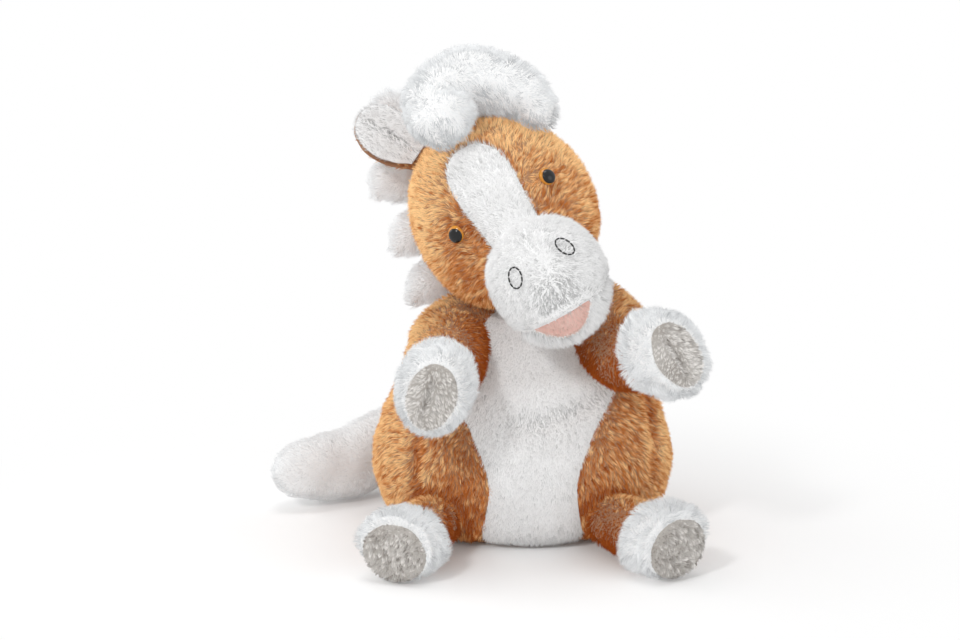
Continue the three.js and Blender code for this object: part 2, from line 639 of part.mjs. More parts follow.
function addEyes(parent) {
  const dome = (radius, height, low) => [0, 0.35, 0.7, 1].map((t) => {
    const r = radius * Math.cos(t * 1.45);
    return { z: low + height * Math.sin((t * Math.PI) / 2), a: r, b: r };
  });
  const button = (radius, foot, height, low) =>
    ovalLoft([{ z: foot, a: radius, b: radius }, ...dome(radius, height, low)], FACETS.button);
  const foot = SEAM + EYE_FOOT;
  const iris = button(EYE_RADIUS, SEAM, EYE_DOME, foot).add(rod(EYE_STEM, -EYE_STEM_LENGTH, foot));
  const pupilSeat = button(EYE_RADIUS + SEAM, foot, EYE_DOME + SEAM, foot);
  const pupil = button(PUPIL_RADIUS, foot, PUPIL_DOME, foot + EYE_DOME);
  const washerTop = -HEAD_PLUSH - 5 * SEAM; // clear of the wall's curve
  const washer = rod(WASHER_RADIUS, washerTop - WASHER_PLATE, washerTop)
    .subtract(rod(EYE_STEM + SEAM, -EYE_STEM_LENGTH, 0));
  for (const [name, sign] of bothSides) {
    const group = frameGroup(eyeFrame(sign), parent);
    piece(`eye_${name}_iris`, iris, IRIS, group);
    piece(`eye_${name}_pupil`, pupil.subtract(pupilSeat), PUPIL, group);
    piece(`eye_${name}_washer`, washer, WASHER, group);
  }
}

// A closed loop of thread on the muzzle
function nostril(sign) {
  const heightAbove = NOSTRIL_HEIGHT + MUZZLE_DROP;
  const { place, out } = onEgg(MUZZLE, sign * NOSTRIL_SIDE, heightAbove);
  const flat = aimed(place, out, sign * NOSTRIL_TILT);
  const [count, sides] = [16, 6];
  const points = [];
  for (let i = 0; i < count; i++) {
    const t = (2 * Math.PI * i) / count;
    const rim = vector(NOSTRIL_WIDTH * Math.cos(t), NOSTRIL_TALL * Math.sin(t), 0).applyMatrix4(flat);
    const seat = onEgg(MUZZLE, rim.x, rim.z);
    const middle = seat.place.addScaledVector(seat.out, THREAD_RADIUS + SEAM);
    const outward = rim.clone().sub(place).normalize();
    for (let k = 0; k < sides; k++) {
      const s = (2 * Math.PI * k) / sides;
      points.push(middle.clone().addScaledVector(outward, THREAD_RADIUS * Math.cos(s))
        .addScaledVector(seat.out, THREAD_RADIUS * Math.sin(s)));
    }
  }
  const faces = [];
  for (let i = 0; i < count; i++) {
    for (let k = 0; k < sides; k++) {
      const [a, b] = [i * sides + k, i * sides + ((k + 1) % sides)];
      const [c, d] = [((i + 1) % count) * sides + k, ((i + 1) % count) * sides + ((k + 1) % sides)];
      faces.push(a, c, b, b, c, d);
    }
  }
  const geometry = new THREE.BufferGeometry().setFromPoints(points);
  geometry.setIndex(faces);
  return moved(solidOf(geometry), toMuzzle);
}

// The mouth opening: a bow under a straight upper lip
function mouthPrism(grow) {
  const steps = 10;
  const bow = Array.from({ length: steps + 1 }, (_, n) => {
    const share = (2 * n) / steps - 1;
    const z = MOUTH_TOP + grow + (MOUTH_LOWER - MOUTH_TOP - 2 * grow) * (1 - share ** 2);
    return new THREE.Vector2(MOUTH_MIDDLE + share * (MOUTH_HALF_WIDTH + grow), z);
  });
  return frontPrism(bow, -FAR, -MUZZLE_FORWARD);
}

function addHead() {
  const socket = ball(NECK_BALL + ROOT_GAP, neckInHead);
  const inner = egg(HEAD, -HEAD_PLUSH, FACETS.head, RINGS.head);
  const outer = egg(HEAD, 0, FACETS.head, RINGS.head);
  const ears = Object.values(EARS);
  const earRooms = ears.map(earRoom);
  const earSeats = ears.map((ear) => moved(ball(EAR_ROOT + ROOT_GAP, vector(0, 0, 0), 12), earFrame(ear)));
  const eyeHoles = bothSides.map(([, sign]) =>
    moved(rod(EYE_STEM + 2 * SEAM, -EYE_STEM_LENGTH, EYE_DOME, 8), eyeFrame(sign)));
  const cover = cutBy(outer, [inner, muzzleEgg(SEAM), socket, ...earSeats, ...eyeHoles]);
  const blazePrism = (grow) => frontPrism(panelOutline(BLAZE, BLAZE_MIDDLE, grow, 8), -FAR, -BLAZE_DEPTH);
  const sides = cover.subtract(blazePrism(SEAM));
  const side = (from, to) => sides.intersect(block(vector(from, -FAR, -FAR), vector(to, FAR, FAR)));
  piece("face_blaze", cover.intersect(blazePrism(0)), WHITE, headGroup);
  piece("head_panel_right", side(-FAR, -SEAM / 2), CHESTNUT, headGroup);
  piece("head_panel_left", side(SEAM / 2, FAR), CHESTNUT, headGroup);

  const muzzle = cutBy(muzzleEgg(0), [muzzleEgg(-HEAD_PLUSH), inner, mouthPrism(SEAM)]);
  const above = block(vector(-FAR, -FAR, MOUTH_TOP + SEAM / 2), vector(FAR, FAR, FAR));
  const below = block(vector(-FAR, -FAR, -FAR), vector(FAR, FAR, MOUTH_TOP - SEAM / 2));
  piece("muzzle_cover", muzzle.intersect(above), WHITE, headGroup);
  piece("chin_cover", muzzle.intersect(below), WHITE, headGroup);
  const liningBack = -MOUTH_INSET - MOUTH_PLUSH;
  piece("mouth_lining",
    muzzleEgg(-MOUTH_INSET).subtract(muzzleEgg(liningBack)).intersect(mouthPrism(0)), PINK, headGroup);
  for (const [name, sign] of bothSides) piece(`nostril_${name}`, nostril(sign), THREAD, headGroup);

  const mouthRoom = mouthPrism(2 * SEAM).subtract(muzzleEgg(liningBack - SEAM));
  const eyeRooms = bothSides.map(([, sign]) =>
    moved(rod(WASHER_RADIUS + 3 * SEAM, -EYE_STEM_LENGTH - SEAM, EYE_DOME, 8), eyeFrame(sign)));
  const lining = -HEAD_PLUSH - 3 * SEAM;
  const stuffed = egg(HEAD, lining, FACETS.head, RINGS.head).add(muzzleEgg(lining));
  const wideSocket = ball(NECK_BALL + 2 * ROOT_GAP, neckInHead);
  piece("head_filling",
    cutBy(stuffed, [wideSocket, pocketSolid(POCKET_WALL + SEAM), mouthRoom, ...earSeats, ...eyeRooms]),
    FILLING, headGroup);
  piece("finger_pocket",
    cutBy(pocketSolid(POCKET_WALL), [pocketSolid(0, -OVERRUN), socket]), LINING, headGroup);

  const hairBase = [egg(HEAD, SEAM, FACETS.head, RINGS.head), wideSocket, ...earRooms];
  const forelock = curvedLoft(
    smooth(FORELOCK, RINGS.forelock).map(({ x, y, z, r }) => ({ x, y, z, a: r, b: r })), FACETS.hair);
  piece("forelock", cutBy(forelock, hairBase), WHITE, headGroup);
  MANE.forEach(({ root, tip, length, back, thick, tall }, n) => {
    const skinBack = HEAD.back * Math.sqrt(1 - (root / (root < 0 ? HEAD.jaw : HEAD.crown)) ** 2);
    const behind = skinBack + MANE_ROOT_BACK;
    const bow = (behind + back) / 2 + MANE_BULGE;
    const run = smooth([
      { x: MANE_START, y: behind, z: root, a: thick * 0.5, b: tall * 0.5 },
      { x: 0, y: behind, z: root, a: thick * 0.8, b: tall * 0.85 },
      { x: -length * 0.45, y: bow, z: (root + tip) / 2, a: thick, b: tall },
      { x: -length * 0.8, y: back, z: tip, a: thick * 0.95, b: tall * 0.95 },
      { x: -length, y: back - MANE_CURL.forward, z: tip - MANE_CURL.down, a: thick * 0.3, b: tall * 0.35 },
    ], RINGS.mane);
    piece(`mane_lock_${n + 1}`, cutBy(curvedLoft(run, FACETS.hair), hairBase), WHITE, headGroup);
  });
  addEyes(headGroup);
  addEars(headGroup);
}

addTorso();
addTail();
for (const [name, { limb, aim, root }] of Object.entries(limbs)) {
  const frame = aimed(root, towards(aim.heading, aim.pitch), aim.twist);
  addLimb(name, limb, frame, limb === LEG, toy);
}
const neckBore = rod(NECK_BORE, -2 * NECK_BALL, 2 * NECK_BALL, FACETS.socket);
piece("neck_band", ball(NECK_BALL, vector(0, 0, 0)).subtract(neckBore), CHESTNUT, neckGroup);
addHead();

// The middle of the bounding box goes over the origin, and the hem on the floor
toy.updateMatrixWorld(true);
const bounds = new THREE.Box3().setFromObject(toy, true);
const middle = bounds.getCenter(vector(0, 0, 0));
toy.position.set(-middle.x, -middle.y, -bounds.min.z);

const puppet = new THREE.Group();
puppet.add(toy);
export default puppet;
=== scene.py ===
"""Looks of the horse hand puppet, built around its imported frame.

Sizes are in millimetres until a mesh is made."""
import json
import math
from collections import namedtuple

import bpy
import numpy as np
from mathutils import Matrix, Vector, kdtree


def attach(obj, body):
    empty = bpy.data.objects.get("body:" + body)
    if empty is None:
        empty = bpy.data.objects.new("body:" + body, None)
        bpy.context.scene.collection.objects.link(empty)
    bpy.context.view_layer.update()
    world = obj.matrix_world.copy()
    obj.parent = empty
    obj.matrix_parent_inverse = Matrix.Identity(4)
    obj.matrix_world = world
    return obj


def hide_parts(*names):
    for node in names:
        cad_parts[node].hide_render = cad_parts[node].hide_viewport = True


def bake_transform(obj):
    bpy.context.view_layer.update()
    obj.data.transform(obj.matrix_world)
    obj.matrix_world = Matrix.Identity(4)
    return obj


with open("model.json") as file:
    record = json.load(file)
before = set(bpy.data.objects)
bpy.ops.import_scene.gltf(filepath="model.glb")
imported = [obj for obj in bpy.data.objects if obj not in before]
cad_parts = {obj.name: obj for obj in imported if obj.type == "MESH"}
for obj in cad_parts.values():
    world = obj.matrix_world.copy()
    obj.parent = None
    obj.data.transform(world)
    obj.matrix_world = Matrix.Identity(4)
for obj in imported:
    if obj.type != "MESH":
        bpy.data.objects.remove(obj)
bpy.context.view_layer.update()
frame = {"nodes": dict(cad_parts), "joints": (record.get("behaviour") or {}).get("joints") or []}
MM = 0.001
FLOOR_GAP = 0.3
PILE_RISE = 2.2  # how far short pile stands off its cloth
FLUFF_RISE = 2.8
ROOT_DEPTH = 0.4  # how far a strand starts inside its cloth
TONES = (0.05, 0.95)  # of a pile's deepest and palest colours

# Torso: height, half width, depth to the front and to the back, sideways lean
TORSO = [
    (0, 54, 41, 45, 2),
    (9, 69, 54, 52, 2),
    (24, 76, 60, 55, 2),
    (42, 78, 62, 56, 2),
    (60, 72.5, 59, 53, 2),
    (82, 62.5, 50, 46, 3),
    (97, 54, 40, 37.5, 4.5),
    (107, 46, 33, 31, 6),
    (115, 35, 27, 24, 7.5),
    (119.5, 22, 18, 17, 9.5),
]
TORSO_FOOT = 2.5
TORSO_TOP = 119.5
TORSO_CLOTH = 1.4
TORSO_SEAM = (1.5, 3.2)  # how deep and how wide a seam draws the plush in
HEM_DEPTH = 9
BELLY_MIDDLE = 6.5
BELLY = [(-10, 27), (10, 26), (38, 23), (62, 32), (86, 45), (108, 30), (140, 17)]
# Folds across the belly, as x and height, and upright pleats in the flanks, as height and x
BELLY_FOLDS = [((-8, 67.5), (20, 71), (50, 81)), ((2, 57), (30, 61), (48, 69))]
BELLY_FOLD = [(3.6, 6.2), (1.6, 5.5)]  # depth and width of each
PLEATS = [((14, -50), (45, -51), (78, -48)), ((30, 66), (55, 67), (80, 62))]
PLEAT = (2.2, 2.6)

# Neck and head. In the head's own frame x runs to its left, y to its back and z to its crown
NECK_MIDDLE = np.array((10.0, -2.0, 134.5))
NECK_BALL = 28
NECK_BEND = (22, 4)  # where its mount's span starts and ends, below the joint
HEAD_FORWARD = 8
HEAD_RISE = 36
HEAD_TILT = -32
HEAD_YAW = 6
HEAD_CENTRE = np.array((0.0, -20.0, -10.0))
HEAD_CLOTH = 1.0
Egg = namedtuple("Egg", "side front back crown jaw fullness")
HEAD = Egg(side=46.5, front=48, back=43, crown=52, jaw=43, fullness=0.9)
MUZZLE = Egg(side=30, front=37, back=30, crown=30, jaw=35, fullness=0.0)
MUZZLE_PLACE = np.array((0.0, -50.0, -30.0))
MUZZLE_BLEND = 2.5
MUZZLE_SEAMS = [((-10, 0), (-5, -0.8), (-1, -1.4)), ((-44, -1.5), (-35, -0.5), (-26, 0))]
MUZZLE_SEAM = (1.5, 1.7)
PHILTRUM = np.array((0.0, -84.0, -34.0))
# Depth and width of the pulls at the philtrum, the eyes and the nostrils
PHILTRUM_PULL = (2.0, 8)
EYE_PULL = (1.4, 8)
NOSTRIL_PULL = (0.9, 5)
MOUTH_MIDDLE = -4
MOUTH_HALF_WIDTH = 15
MOUTH_TOP = -45.5
MOUTH_LOWER = -57.5
MOUTH_INSET = 1.2
BLAZE_MIDDLE = -1.5
BLAZE_DEPTH = 10
BLAZE_SEAM = (0.9, 1.7)
BLAZE = [(-25, 13), (0, 13.5), (19, 15.3), (31, 14.5), (38, 10), (41, 4)]
EYE_SIDE = 25.7
EYE_HEIGHT = 9
EYE_RADIUS = 4.35
PUPIL_RADIUS = 3.7
IRIS_DOME = (0.7, 2.0)  # height of its foot, and rise
PUPIL_DOME = (1.7, 1.7)
PUPIL_ASIDE = np.array((0.1, -0.45, 0.0))
NOSTRIL_SIDE = 13.6
NOSTRIL_HEIGHT = -18
NOSTRIL_WIDTH = 3.8
NOSTRIL_TALL = 5.2
NOSTRIL_TILT = 2
THREAD_RADIUS = 0.42
STITCHES = 11
STITCH_SHARE = 0.78  # of the way from one stitch to the next
EAR_SIDE = 20
EAR_BACK = 12
EAR_LENGTH = 38
EAR_WIDTH = 13.5
EAR_CUP = 5
EAR_FOLD_WIDTH = 0.16  # as a share of the half width
EAR_BEND = (1, 9)  # how far its mount's span runs before and after its joint
Ear = namedtuple("Ear", "sign splay lean")
EARS = {"right": Ear(-1, 24, 0), "left": Ear(1, 38, 34)}
EAR_OUTLINE = [(0, 0.5), (0.25, 0.84), (0.5, 1), (0.75, 0.92), (0.93, 0.58), (1, 0.14)]

# Hair in the head's frame: x, y, z and radius, and for each mane lock its root, tip, length, back and radii
FORELOCK = [
    (3, -37, 49, 4),
    (2, -34, 54.5, 13.5),
    (-2, -27, 61, 16.5),
    (2, -16, 66, 18),
    (17, -9, 67, 18),
    (30, -9, 58, 16.5),
    (39, -14, 45, 14),
    (41, -20, 34, 10),
    (41, -22, 28, 3),
]
FORELOCK_FOLD = [(1, 77), (15, 66.5), (21.5, 50)]  # x and z along the fold down its front
MANE_ROOT_BACK = 6
MANE_START = 8
MANE_BULGE = 3
MANE_CURL = (4, 2)  # how far the end of a lock turns forwards and down
MANE = [
    (47, 71, 26, 30, 11, 11.5),
    (24.5, 41, 50, 34, 11.5, 12),
    (0, 12, 56, 30, 11.5, 12),
    (-24.5, -14, 63, 26, 11.5, 12),
]

# Limbs along their own z, from root to sole. A shoulder's rows are offsets from the root, and a radius
Kind = namedtuple(
    "Kind", "sleeve wrist sleeve_length length cuff_width cuff_height"
    " sole_width sole_height sole_drop parting sole_tone")
# The soles' last number is painted light: it lightens the arms' soles and darkens the legs', which get less
# light
ARM = Kind(
    sleeve=20.5, wrist=18, sleeve_length=38, length=62, cuff_width=19.5, cuff_height=24,
    sole_width=11.8, sole_height=17.5, sole_drop=0, parting=2.2, sole_tone=0.28)
LEG = Kind(
    sleeve=15.5, wrist=14.5, sleeve_length=27, length=50, cuff_width=22, cuff_height=17.5,
    sole_width=16.3, sole_height=13.8, sole_drop=2.8, parting=0, sole_tone=-0.08)
LIMB_BEND = (8, 12)  # how far a sleeve's mount's span runs before and after its joint
Limb = namedtuple("Limb", "kind heading pitch twist shoulder")
LIMBS = {
    "arm_right": Limb(ARM, -8, -9, -17, [(20.5, 27.1, 12, 14), (7.5, 22.1, 7, 19), (0.5, 12.1, 1, 21.5)]),
    "arm_left": Limb(ARM, 29, 9, 33, [(-16.4, 27.1, 15, 14), (-5, 21.5, 12.5, 19.5), (-0.4, 12.1, 7, 21.5)]),
    "leg_right": Limb(LEG, -20, 3, -8, [(4.1, 11.3, -0.6, 9), (1.7, 4.7, -0.3, 14)]),
    "leg_left": Limb(LEG, 32, 3, 22, [(-6.4, 10.2, -0.6, 9), (-2.6, 4.2, -0.3, 14)]),
}
TAIL = [
    (180, 6, 46, 12),
    (184, 18, 46, 13),
    (198, 25, 43, 15.5),
    (222, 27, 32, 19),
    (243, 33, 20.5, 20),
    (256, 45, 20.5, 17),
    (261, 53, 21, 11),
    (262.5, 57, 21, 3),
]

# Camera: where it looks, in the torso's frame, and how
CAMERA_TARGET = np.array((-20.0, 0.0, 108.2))
CAMERA_DISTANCE = 1100
CAMERA_ELEVATION = 12
CAMERA_LENS = 80.4

# Light, in metres and watts: each lamp's place, size and power, and the height that all of them look at
LAMPS = {
    "key": ((-0.6, -0.92, 0.92), 0.2, 4.5),
    "fill": ((0.95, -0.6, 0.55), 0.7, 1.2),
    "top": ((0.0, 0.0, 1.3), 0.6, 3.2),
    "side": ((-1.1, 0.35, 0.55), 0.6, 2.2),
}
LAMP_AIM = 0.12
WORLD_LIGHT = 0.66
FLOOR_FADE = (0.10, 0.30)  # how far out the floor starts to turn white, and is white

joints = {j["name"]: j for j in frame["joints"]}


def pivot(name):
    return np.array(joints[name]["pos_m"]) / MM


SHIFT = pivot("head_tilt") - NECK_MIDDLE


# Curves, noise and frames
def spline(rows, steps):
    """A smooth run of that many steps through rows of numbers."""
    rows = np.asarray(rows, float)
    last = len(rows) - 1
    at = np.linspace(0, last, steps + 1)
    i = np.minimum(at.astype(int), last - 1)
    w = (at - i)[:, None]
    p0, p1, p2, p3 = (rows[np.clip(i + k, 0, last)] for k in (-1, 0, 1, 2))
    v0, v1 = (p2 - p0) / 2, (p3 - p1) / 2
    return (2 * p1 - 2 * p2 + v0 + v1) * w**3 + (3 * p2 - 3 * p1 - 2 * v0 - v1) * w**2 + v0 * w + p1


def waves(points, size, seed, count=9):
    """Smooth noise between about -1 and 1, with swells of about that size."""
    rng = np.random.default_rng(seed)
    ways = rng.normal(size=(count, 3))
    ways /= np.linalg.norm(ways, axis=1, keepdims=True)
    ways *= (2 * math.pi / size) * rng.uniform(0.6, 1.5, (count, 1))
    return np.sin(points @ ways.T + rng.uniform(0, 6.3, count)).mean(1) * 2


def wave_vectors(points, size, seed):
    return np.stack([waves(points, size, seed + k) for k in range(3)], axis=1)


def crease(along, across, path, depth, width):
    """Relief of a groove between two low swells, which follows a path and fades out at its ends."""
    run = spline(path, 40)
    share = np.clip((along - run[0, 0]) / (run[-1, 0] - run[0, 0]), 0, 1)
    off = np.abs(across - np.interp(along, run[:, 0], run[:, 1])) / width
    return depth * np.sin(math.pi * share) ** 0.7 * (0.4 * bell(off - 2) - bell(off))


def bell(x):
    return np.exp(-(x**2))


def unit(v):
    return v / np.maximum(np.linalg.norm(v, axis=-1, keepdims=True), 1e-9)


def turn(axis, degrees):
    return np.array(Matrix.Rotation(math.radians(degrees), 3, axis))


def towards(heading, pitch):
    h, p = math.radians(heading), math.radians(pitch)
    return np.array((math.sin(h) * math.cos(p), -math.cos(h) * math.cos(p), math.sin(p)))


def aimed(direction, twist):
    """Axes with z along a direction and y as near upright as that allows, then twisted about z."""
    across = unit(np.cross((0, 0, 1), direction))
    return np.stack([across, np.cross(direction, across), direction], axis=1) @ turn("Z", twist)


# Surfaces: points and triangles
class Surface:
    def __init__(self, points, triangles):
        self.points = np.asarray(points, float)
        self.triangles = np.asarray(triangles, int)

    def corners(self):
        return [self.points[self.triangles[:, k]] for k in range(3)]

    def areas(self):
        a, b, c = self.corners()
        return np.linalg.norm(np.cross(b - a, c - a), axis=1) / 2

    def normals(self):
        a, b, c = self.corners()
        face = np.cross(b - a, c - a)
        total = np.zeros_like(self.points)
        for k in range(3):
            np.add.at(total, self.triangles[:, k], face)
        return unit(total)

    def moved(self, rotation, place):
        return Surface(self.points @ rotation.T + place, self.triangles)

    def pushed(self, distance):
        return Surface(self.points + self.normals() * np.reshape(distance, (-1, 1)), self.triangles)

    def part(self, chosen):
        """The chosen triangles alone."""
        used, index = np.unique(self.triangles[chosen], return_inverse=True)
        return Surface(self.points[used], index.reshape(-1, 3))

    def thickened(self, depth):
        """A closed shell: this surface outside, and its copy that deep inside."""
        count = len(self.points)
        inner = self.points - self.normals() * depth
        edges = np.concatenate([self.triangles[:, [k, (k + 1) % 3]] for k in range(3)])
        back = np.isin(edges[:, 0] * count + edges[:, 1], edges[:, 1] * count + edges[:, 0])
        a, b = edges[~back].T
        walls = np.concatenate([np.stack([b, a, a + count], 1), np.stack([b, a + count, b + count], 1)])
        return Surface(
            np.concatenate([self.points, inner]),
            np.concatenate([self.triangles, self.triangles[:, ::-1] + count, walls]),
        )


def grid_triangles(rows, columns, wrap):
    i, j = np.meshgrid(np.arange(rows - 1), np.arange(columns if wrap else columns - 1), indexing="ij")
    a = (i * columns + j).ravel()
    b = (i * columns + (j + 1) % columns).ravel()
    return np.concatenate([np.stack([a, b, a + columns], 1), np.stack([b, b + columns, a + columns], 1)])


def loft(rings):
    """A closed surface over rings of points, turning by the right hand about the way from first to last."""
    rows, columns = rings.shape[:2]
    points = np.concatenate([rings.reshape(-1, 3), rings[:1].mean(1), rings[-1:].mean(1)])
    first, last = rows * columns, rows * columns + 1
    j = np.arange(columns)
    k = (j + 1) % columns
    low = np.stack([np.full(columns, first), k, j], 1)
    top = (rows - 1) * columns
    high = np.stack([np.full(columns, last), top + j, top + k], 1)
    return Surface(points, np.concatenate([grid_triangles(rows, columns, True), low, high]))


def ball_ways(rows, columns, margin):
    """Ways out from a middle in rows from below to above, which leave a margin at both poles."""
    polar = np.linspace(margin, math.pi - margin, rows)[::-1, None]
    around = np.linspace(0, 2 * math.pi, columns, endpoint=False)[None]
    flat = np.sin(polar)
    return np.stack([flat * np.cos(around), flat * np.sin(around), np.cos(polar) + 0 * around], axis=-1)


def curved_loft(run, columns=56):
    """A closed surface along a curve, from rows x, y, z and one radius, or a level and an upright one."""
    places = run[:, :3]
    along = unit(np.gradient(places, axis=0))
    level = unit(np.cross((0, 0, 1), along))
    upright = np.cross(along, level)
    t = np.linspace(0, 2 * math.pi, columns, endpoint=False)
    rings = (
        places[:, None]
        + level[:, None] * (run[:, 3, None] * np.cos(t))[..., None]
        + upright[:, None] * (run[:, -1, None] * np.sin(t))[..., None]
    )
    return loft(rings)


def fluffy_loft(run):
    """The same for cloth that fluffy pile stands on, drawn in by what the pile takes up."""
    body = run.copy()
    body[:, 3:] -= np.minimum(FLUFF_RISE, body[:, 3:] * 0.5)
    return curved_loft(body)


def oval_loft(run, columns=72):
    """A closed surface along z, from rows z, x radius, y radius."""
    t = np.linspace(0, 2 * math.pi, columns, endpoint=False)
    z, a, b = (run[:, k, None] for k in range(3))
    return loft(np.stack([a * np.cos(t), b * np.sin(t), z + 0 * t], axis=-1))


# Meshes and pieces
def mesh_object(name, surface, material, uv=None, normals=None):
    mesh = bpy.data.meshes.new(name)
    count = len(surface.triangles)
    mesh.vertices.add(len(surface.points))
    mesh.vertices.foreach_set("co", (surface.points * MM).astype(np.float32).ravel())
    mesh.loops.add(count * 3)
    mesh.loops.foreach_set("vertex_index", surface.triangles.astype(np.int32).ravel())
    mesh.polygons.add(count)
    mesh.polygons.foreach_set("loop_start", np.arange(0, count * 3, 3, dtype=np.int32))
    mesh.polygons.foreach_set("use_smooth", np.ones(count, bool))
    if uv is not None:
        layer = mesh.uv_layers.new(name="OFBake")
        layer.data.foreach_set("uv", uv.astype(np.float32).ravel())
    mesh.update(calc_edges=True)
    if normals is not None:
        mesh.normals_split_custom_set(np.repeat(normals, 3, axis=0))
    mesh.materials.append(material)
    piece = bpy.data.objects.new(name, mesh)
    bpy.context.scene.collection.objects.link(piece)
    return piece


class Mount:
    """How a piece is carried: on one body, or, where it spans a joint, fixed where it stands."""

    def __init__(self, body, onto=None, start=None, end=None):
        self.body, self.onto, self.start, self.end = body, onto, start, end

    def carry(self, piece):
        if self.onto is None:
            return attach(piece, self.body)
        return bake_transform(piece)


def cloth_piece(name, surface, look, mount, nodes):
    piece = mesh_object(name, surface, look.cloth)
    mount.carry(piece)
    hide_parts(*nodes)


def scatter(surface, count, rng):
    """Points spread evenly over a surface, and the surface's normals there."""
    corners = surface.corners()
    share = np.cumsum(surface.areas())
    share /= share[-1]
    pick = np.searchsorted(share, (np.arange(count) + rng.random(count)) / count)
    pick = np.minimum(pick, len(share) - 1)
    u, v = rng.random((2, count))
    over = u + v > 1
    u[over], v[over] = 1 - u[over], 1 - v[over]
    weights = (1 - u - v, u, v)
    normals = surface.normals()
    points = sum(w[:, None] * corners[k][pick] for k, w in enumerate(weights))
    ways = unit(sum(w[:, None] * normals[surface.triangles[pick, k]] for k, w in enumerate(weights)))
    return points, ways


def tuft_middles(roots, every, rng):
    """For each strand the one in the middle of its tuft, with about that many strands to a tuft."""
    leaders = rng.choice(len(roots), max(1, len(roots) // every), replace=False)
    tree = kdtree.KDTree(len(leaders))
    for n, place in enumerate(roots[leaders]):
        tree.insert(place, n)
    tree.balance()
    return leaders[np.array([tree.find(root)[1] for root in roots])]


# A kind of plush: its cloth and pile, the strands' number per square millimetre, their length, radius and
# lean in degrees, how far the groom strays, strands to a tuft, how far their tips come together, and how
# far tufts differ in tone. Curved strands bend over half way
Plush = namedtuple("Plush", "cloth pile slot density length radius lean ruffle tuft gather mottle curved")


def strand_mesh(rows, tips, thick, corner):
    """Three-sided strands through rows of places, each with its share of the thickness, up to their tips."""
    count, top = len(tips), 3 * (len(rows) - 1)
    rings = [place + size * thick * c for place, size in rows for c in corner]
    points = np.stack(rings + [tips], axis=1).reshape(-1, 3)
    points[:, 2] = np.maximum(points[:, 2], FLOOR_GAP)
    pattern = [(2, 1, 0)]
    for a, b in ((0, 1), (1, 2), (2, 0)):
        for low in range(0, top, 3):
            pattern += [(low + a, low + b, low + b + 3), (low + a, low + b + 3, low + a + 3)]
        pattern.append((top + a, top + b, top + 3))
    each = np.arange(count)[:, None, None] * (top + 4)
    return Surface(points, (each + np.array(pattern)).reshape(-1, 3))


def pile(name, surface, mount, look, groom, seed, shorten=None, shade=None):
    """Strands of pile over a surface, leaning along the groom.

    shorten gives each root its share of the length and drops it at 0, and shade lightens or darkens it with
    painted light and shade."""
    rng = np.random.default_rng(seed)
    roots, normals = scatter(surface, int(surface.areas().sum() * look.density), rng)
    share = np.ones(len(roots)) if shorten is None else shorten(roots, normals)
    kept = share > 0.02
    roots, normals, share = roots[kept], normals[kept], share[kept]
    count = len(roots)

    way = groom(roots) + look.ruffle * wave_vectors(roots, 16, seed) + 0.25 * rng.normal(size=(count, 3))
    way = unit(way - normals * (way * normals).sum(1, keepdims=True))
    reach = (look.length * share * rng.uniform(0.75, 1.15, count))[:, None]
    tilt = np.radians(look.lean + 9 * rng.normal(size=count) + 8 * waves(roots, 12, seed + 7))[:, None]
    tips = roots + reach * (normals * np.cos(tilt) + way * np.sin(tilt))
    leader = tuft_middles(roots, look.tuft, rng)
    tips = tips + (tips[leader] - tips) * look.gather
    middle = roots + 0.5 * reach * (normals * np.cos(tilt * 0.45) + way * np.sin(tilt * 0.45))
    middle = 0.6 * middle + 0.4 * (roots + 0.5 * (tips - roots) + 0.12 * reach * normals)

    along = unit(tips - roots)
    side = unit(np.cross(along, rng.normal(size=(count, 3))))
    other = np.cross(along, side)
    thick = (look.radius * rng.uniform(0.75, 1.25, count))[:, None]
    corner = [side * math.cos(a) + other * math.sin(a) for a in (0, 2 * math.pi / 3, 4 * math.pi / 3)]
    foot = roots - normals * ROOT_DEPTH
    rows = [(foot, 1.0), (middle, 0.8)] if look.curved else [(foot, 1.0)]
    strands = strand_mesh(rows, tips, thick, corner)

    points_each, faces_each = 3 * len(rows) + 1, len(strands.triangles) // count
    a, b, c = strands.corners()
    facing = unit(np.cross(b - a, c - a)) + np.repeat(normals, faces_each, axis=0)
    tone = 0.5 + 0.1 * waves(roots, 30, seed + 3) + 0.08 * rng.normal(size=count)
    tone += look.mottle * rng.normal(size=count)[leader]
    if shade is not None:
        tone = tone + shade(roots, normals)
    tone = np.clip(tone, 0.02, 0.95)
    height = np.repeat([0.02, 0.5, 0.98] if look.curved else [0.02, 0.98], [3] * len(rows) + [1])
    across = np.array([0.0, 0.012, 0.024] * len(rows) + [0.012])
    uv = np.stack([tone[:, None] + across, np.broadcast_to(height, (count, points_each))], axis=-1)
    uv = uv.reshape(-1, 2)[strands.triangles.ravel()]
    piece = mesh_object(name, strands, look.pile, uv, unit(facing))
    # Strands cast no shadows and bounce light passes them; the shade between them is painted into their
    # colour
    piece.visible_shadow = False
    piece.visible_diffuse = False
    mount.carry(piece)


def plush_piece(name, skin, look, mount, groom, seed, wall=0.0, shorten=None, shade=None,
                nodes=None):
    """A piece of plush: its cloth, closed by a wall where it is open, and the pile that stands on it.

    It stands for the solid of its own name unless nodes says otherwise."""
    cloth_piece(name + "_skin", skin.thickened(wall) if wall else skin, look, mount, nodes or [name])
    pile(name + "_pile", skin, mount, look, groom, seed, shorten, shade)


# Materials
def new_material(name):
    material = bpy.data.materials.new(name)
    material.use_nodes = True
    nodes = material.node_tree.nodes
    return material, nodes, material.node_tree.links, nodes["Principled BSDF"]


def set_inputs(node, values):
    for name, value in values.items():
        node.inputs[name].default_value = value


def ramp(nodes, stops):
    node = nodes.new("ShaderNodeValToRGB")
    elements = node.color_ramp.elements
    while len(elements) < len(stops):
        elements.new(0.5)
    for element, (place, colour) in zip(elements, stops):
        element.position = place
        element.color = (*colour, 1)
    return node


